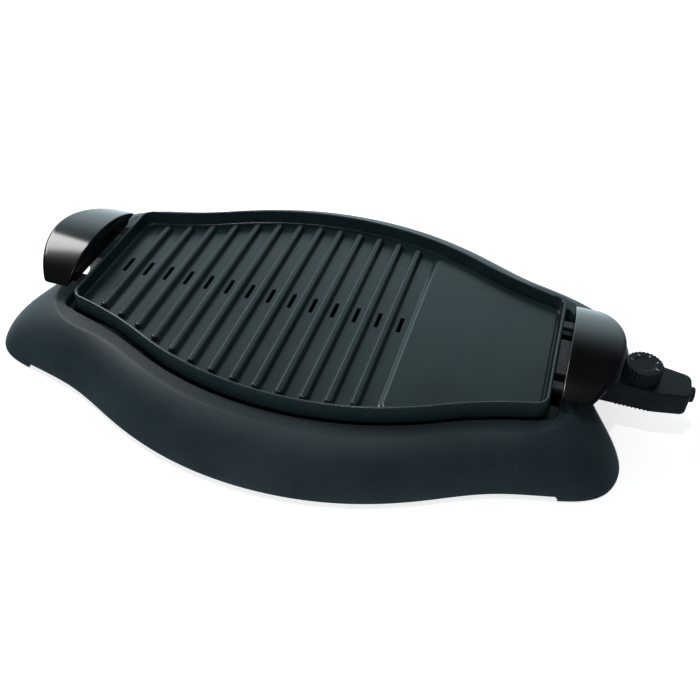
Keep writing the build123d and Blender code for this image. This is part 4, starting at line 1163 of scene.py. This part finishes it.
grip_low = control_low.z + 0.35 * MM
grip_high = lid_low.z - 1.6 * MM
bar_outline = outline_with_directions(rounded_rectangle(0, 0, 0.85 * MM, 1.4 * MM, 0.7 * MM, 5))
bar_section = quarter_round(-0.6 * MM, grip_low + 0.6 * MM, 0.6 * MM, -90, 0, 3)
bar_section += quarter_round(-0.6 * MM, grip_high - 0.6 * MM, 0.6 * MM, 0, 90, 3)
bar_rings = [plan_ring(bar_outline, off, z) for off, z in bar_section]
bar = bpy.data.objects.new("bar", ring_mesh("bar", bar_rings))
bpy.context.scene.collection.objects.link(bar)
tree = grip_tree()
grips = []
for sy in (-1, 1):
    start = (KNOB_X - 15 * MM, sy * (control_high.y - 1.4 * MM), 0.0)
    grips.append(grown_by_nodes("grips", bpy.data.meshes.new("start"), tree,
                                {"Bar": bar, "Count": 9, "Start": start, "Step": (3.3 * MM, 0.0, 0.0),
                                 "Finish": FINISHES["control_plastic"]}))
bpy.data.objects.remove(bar)
control_tub = new_piece("control_tub", join_meshes("control_tub", [tub] + grips), 35)
mount(control_tub, "control", "control_plastic", "control_lower_housing")
control_lid = new_piece("control_lid", lid, 35)
mount(control_lid, "control", "control_plastic", "control_upper_housing")


# %% [markdown]
# ## The knob
# The dial is a short drum with flutes for the fingertips. Its side follows a rule: the radius
# goes in and out as a wave round the axis, and the wave fades out at the rounded top. A plain drum
# goes in, and a node tree moves its side by that wave.

# %% Flutes by a wave
FLUTES = 28
FLUTE_DEPTH = 1.0 * MM


def flute_tree():
    group, enter, leave = node_group("fluted_drum", [
        ("Flutes", "NodeSocketFloat", float(FLUTES)), ("Depth", "NodeSocketFloat", FLUTE_DEPTH),
        ("Finish", "NodeSocketMaterial", None)])
    new, link = group.nodes.new, group.links.new

    def math_node(operation, *values):
        node = new("ShaderNodeMath")
        node.operation = operation
        for i, value in enumerate(values):
            if hasattr(value, "default_value"):
                link(value, node.inputs[i])
            else:
                node.inputs[i].default_value = value
        return node.outputs[0]

    position = new("GeometryNodeInputPosition")
    split = new("ShaderNodeSeparateXYZ")
    link(position.outputs[0], split.inputs[0])
    angle = math_node("ARCTAN2", split.outputs["Y"], split.outputs["X"])
    wave = math_node("COSINE", math_node("MULTIPLY", angle, enter.outputs["Flutes"]))
    bowl = math_node("POWER", math_node("MULTIPLY_ADD", wave, 0.5, 0.5), 1.6)
    share = new("GeometryNodeInputNamedAttribute")
    share.data_type = "FLOAT"
    share.inputs["Name"].default_value = "wave_share"
    faded = math_node("MULTIPLY", bowl, share.outputs["Attribute"])
    depth = math_node("MULTIPLY", faded, enter.outputs["Depth"])
    inward = math_node("MULTIPLY", depth, -1.0)
    offset = new("ShaderNodeCombineXYZ")
    link(math_node("MULTIPLY", math_node("COSINE", angle), inward), offset.inputs["X"])
    link(math_node("MULTIPLY", math_node("SINE", angle), inward), offset.inputs["Y"])
    move = new("GeometryNodeSetPosition")
    link(enter.outputs["Geometry"], move.inputs["Geometry"])
    link(offset.outputs[0], move.inputs["Offset"])
    real = new("GeometryNodeRealizeInstances")
    link(move.outputs["Geometry"], real.inputs["Geometry"])
    paint = new("GeometryNodeSetMaterial")
    link(real.outputs["Geometry"], paint.inputs["Geometry"])
    link(enter.outputs["Finish"], paint.inputs["Material"])
    link(paint.outputs["Geometry"], leave.inputs["Geometry"])
    return group


# %% Drum section with the share of the wave at each ring
dial_low, dial_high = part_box("dial_disc")
DIAL_RADIUS = 0.5 * (dial_high.x - dial_low.x)
bottom, top = knob_low.z, knob_high.z
drum = [(4 * MM, bottom, 0), (KNOB_RADIUS - 1.2 * MM, bottom, 0),
        (KNOB_RADIUS - 0.5 * MM, bottom + 0.15 * MM, 0), (KNOB_RADIUS, bottom + 0.7 * MM, 0.3),
        (KNOB_RADIUS, bottom + 1.4 * MM, 1)]
drum += [(KNOB_RADIUS, bottom + (0.2 + 0.12 * i) * (top - bottom), 1) for i in range(5)]
drum += [(KNOB_RADIUS - 0.05 * MM, top - 1.2 * MM, 1), (KNOB_RADIUS - 0.2 * MM, top - 0.6 * MM, 1),
         (KNOB_RADIUS - 0.55 * MM, top - 0.2 * MM, 0.9), (KNOB_RADIUS - 0.95 * MM, top - 0.02 * MM, 0.75),
         (KNOB_RADIUS - 2.3 * MM, top, 0), (DIAL_RADIUS + 0.25 * MM, top - 0.02 * MM, 0),
         (DIAL_RADIUS + 0.05 * MM, top - 0.25 * MM, 0), (DIAL_RADIUS + 0.05 * MM, top - 0.9 * MM, 0),
         (3 * MM, top - 0.9 * MM, 0)]
STEPS = FLUTES * 12
drum_rings = []
for radius, z, share in drum:
    drum_rings.append(np.column_stack([np.array(circle(0, 0, radius, STEPS)), np.full(STEPS, z)]))
drum_mesh = ring_mesh("drum", drum_rings)
shares = drum_mesh.attributes.new("wave_share", "FLOAT", "POINT")
heights = [z for radius, z, share in drum[:-4]]
amounts = [share for radius, z, share in drum[:-4]]
wave_shares = []
for v in drum_mesh.vertices:
    on_side = v.co.xy.length > KNOB_RADIUS - 1.5 * MM
    wave_shares.append(float(np.interp(v.co.z, heights, amounts)) if on_side else 0.0)
shares.data.foreach_set("value", wave_shares)
drum_mesh = grown_by_nodes("drum", drum_mesh, flute_tree(), {"Flutes": float(FLUTES), "Depth": FLUTE_DEPTH,
                                                            "Finish": FINISHES["knob_plastic"]})
drum_mesh.transform(Matrix.Translation((KNOB_X, 0, 0)))
knob_drum = new_piece("knob_drum", drum_mesh, 42)
mount(knob_drum, "knob", "knob_plastic", "control_knob")


# %% [markdown]
# The disc on top carries a ring of plain numbers printed in white. Print is a very thin layer, so
# each number is text turned into a mesh and laid just on the disc.

# %% Dial disc and its print
disc_outline = outline_with_directions(circle(KNOB_X, 0, DIAL_RADIUS, 96))
disc_section = [(0, dial_low.z), (0, dial_high.z - 0.3 * MM), (-0.2 * MM, dial_high.z - 0.12 * MM),
                (-0.5 * MM, dial_high.z - 0.08 * MM), (-3.6 * MM, dial_high.z - 0.08 * MM),
                (-3.9 * MM, dial_high.z - 0.16 * MM), (-4.2 * MM, dial_high.z - 0.42 * MM),
                (-4.6 * MM, dial_high.z - 0.5 * MM)]
disc_rings = [plan_ring(disc_outline, off, z) for off, z in disc_section]
disc = new_piece("dial_face", ring_mesh("disc", disc_rings), 40)
mount(disc, "knob", "dial_print", "dial_disc")


def printed_number(text, angle, size=3.4 * MM, radius=10.55 * MM):
    curve = bpy.data.curves.new("number", "FONT")
    curve.body = text
    curve.size = size
    curve.align_x = "CENTER"
    curve.align_y = "CENTER"
    curve.extrude = 0.02 * MM
    curve.offset = 0.03 * MM
    item = bpy.data.objects.new("number", curve)
    bpy.context.scene.collection.objects.link(item)
    depsgraph = bpy.context.evaluated_depsgraph_get()
    mesh = bpy.data.meshes.new_from_object(item.evaluated_get(depsgraph))
    bpy.data.objects.remove(item)
    place = Matrix.Translation((KNOB_X, 0, dial_high.z - 0.07 * MM)) @ Matrix.Rotation(angle, 4, "Z")
    mesh.transform(place @ Matrix.Translation((radius, 0, 0)) @ Matrix.Rotation(-math.pi / 2, 4, "Z"))
    return mesh


numbers = [printed_number(str(i + 1), math.radians(168 - 48 * i)) for i in range(5)]
print_mesh = join_meshes("dial_numbers", numbers)
print_mesh.materials.append(FINISHES["print_white"])
dial_numbers = bpy.data.objects.new("dial_numbers", print_mesh)
bpy.context.scene.collection.objects.link(dial_numbers)
mount(dial_numbers, "knob", "dial_print", "dial_disc")


# %% [markdown]
# ## Floor and light
# A plain white floor that glows a little gives clean, nearly shadowless ground. The glossy parts
# don't mirror it, so their fronts and undersides stay black. A bright stretch of sky overhead and
# behind draws the long pale sheen on the glossy handles and along the ribs. A smaller lamp from
# the left picks out the rims, and a wide one in front lifts the skirt without showing in gloss.

# %% Floor
floor_mesh = bpy.data.meshes.new("floor")
floor_mesh.from_pydata([(-4, -4, 0), (4, -4, 0), (4, 4, 0), (-4, 4, 0)], [], [(0, 1, 2, 3)])
floor = bpy.data.objects.new("floor", floor_mesh)
bpy.context.scene.collection.objects.link(floor)
floor_finish = finish("floor_white", (0.80, 0.80, 0.80), (0.83, 0.83, 0.83), 0.9, 40, 0.01 * MM, specular=0.1)
floor_shader = floor_finish.node_tree.nodes["Principled BSDF"]
floor_shader.inputs["Emission Color"].default_value = (1, 1, 1, 1)
floor_shader.inputs["Emission Strength"].default_value = 0.75
floor_mesh.materials.append(floor_finish)
floor.visible_glossy = False

# %% World and lamps
scene = bpy.context.scene
scene.view_settings.view_transform = "Standard"
world = bpy.data.worlds.new("studio")
scene.world = world
world.use_nodes = True
sky = world.node_tree.nodes["Background"]
sky.inputs["Color"].default_value = (0.74, 0.93, 1.0, 1)
direction = world.node_tree.nodes.new("ShaderNodeTexCoord")
split = world.node_tree.nodes.new("ShaderNodeSeparateXYZ")
world.node_tree.links.new(direction.outputs["Generated"], split.inputs[0])


def sky_range(axis, low, high, start, stop):
    fade = world.node_tree.nodes.new("ShaderNodeMapRange")
    fade.interpolation_type = "SMOOTHSTEP"
    fade.inputs["From Min"].default_value = low
    fade.inputs["From Max"].default_value = high
    fade.inputs["To Min"].default_value = start
    fade.inputs["To Max"].default_value = stop
    world.node_tree.links.new(split.outputs[axis], fade.inputs["Value"])
    return fade.outputs["Result"]


both = world.node_tree.nodes.new("ShaderNodeMath")
both.operation = "MULTIPLY"
world.node_tree.links.new(sky_range("Y", 0.05, 0.75, 0.0, 1.7), both.inputs[0])
world.node_tree.links.new(sky_range("Z", 0.30, 0.86, 1.0, 0.0), both.inputs[1])
leftward = world.node_tree.nodes.new("ShaderNodeMath")
leftward.operation = "MULTIPLY"
world.node_tree.links.new(both.outputs[0], leftward.inputs[0])
world.node_tree.links.new(sky_range("X", -0.10, 0.50, 1.0, 0.12), leftward.inputs[1])
total = world.node_tree.nodes.new("ShaderNodeMath")
total.operation = "ADD"
total.inputs[1].default_value = 0.06
world.node_tree.links.new(leftward.outputs[0], total.inputs[0])
world.node_tree.links.new(total.outputs[0], sky.inputs["Strength"])


def soft_lamp(name, place, aim, size, power, in_gloss=True):
    lamp = bpy.data.lights.new(name, "AREA")
    lamp.shape = "RECTANGLE"
    lamp.size, lamp.size_y = size
    lamp.energy = power
    item = bpy.data.objects.new(name, lamp)
    item.location = place
    item.rotation_euler = (Vector(aim) - Vector(place)).to_track_quat("-Z", "Y").to_euler()
    item.visible_glossy = in_gloss
    bpy.context.scene.collection.objects.link(item)


soft_lamp("left_key", (-1.20, 0.55, 1.15), (-0.05, 0.0, 0.05), (0.6, 0.6), 13)
soft_lamp("front_fill", (-0.3, -1.7, 0.45), (0.0, 0.0, 0.03), (1.8, 0.5), 10, in_gloss=False)
soft_lamp("top_spot", (0.05, -0.10, 1.35), (0.0, 0.0, 0.0), (0.05, 0.05), 3.0)
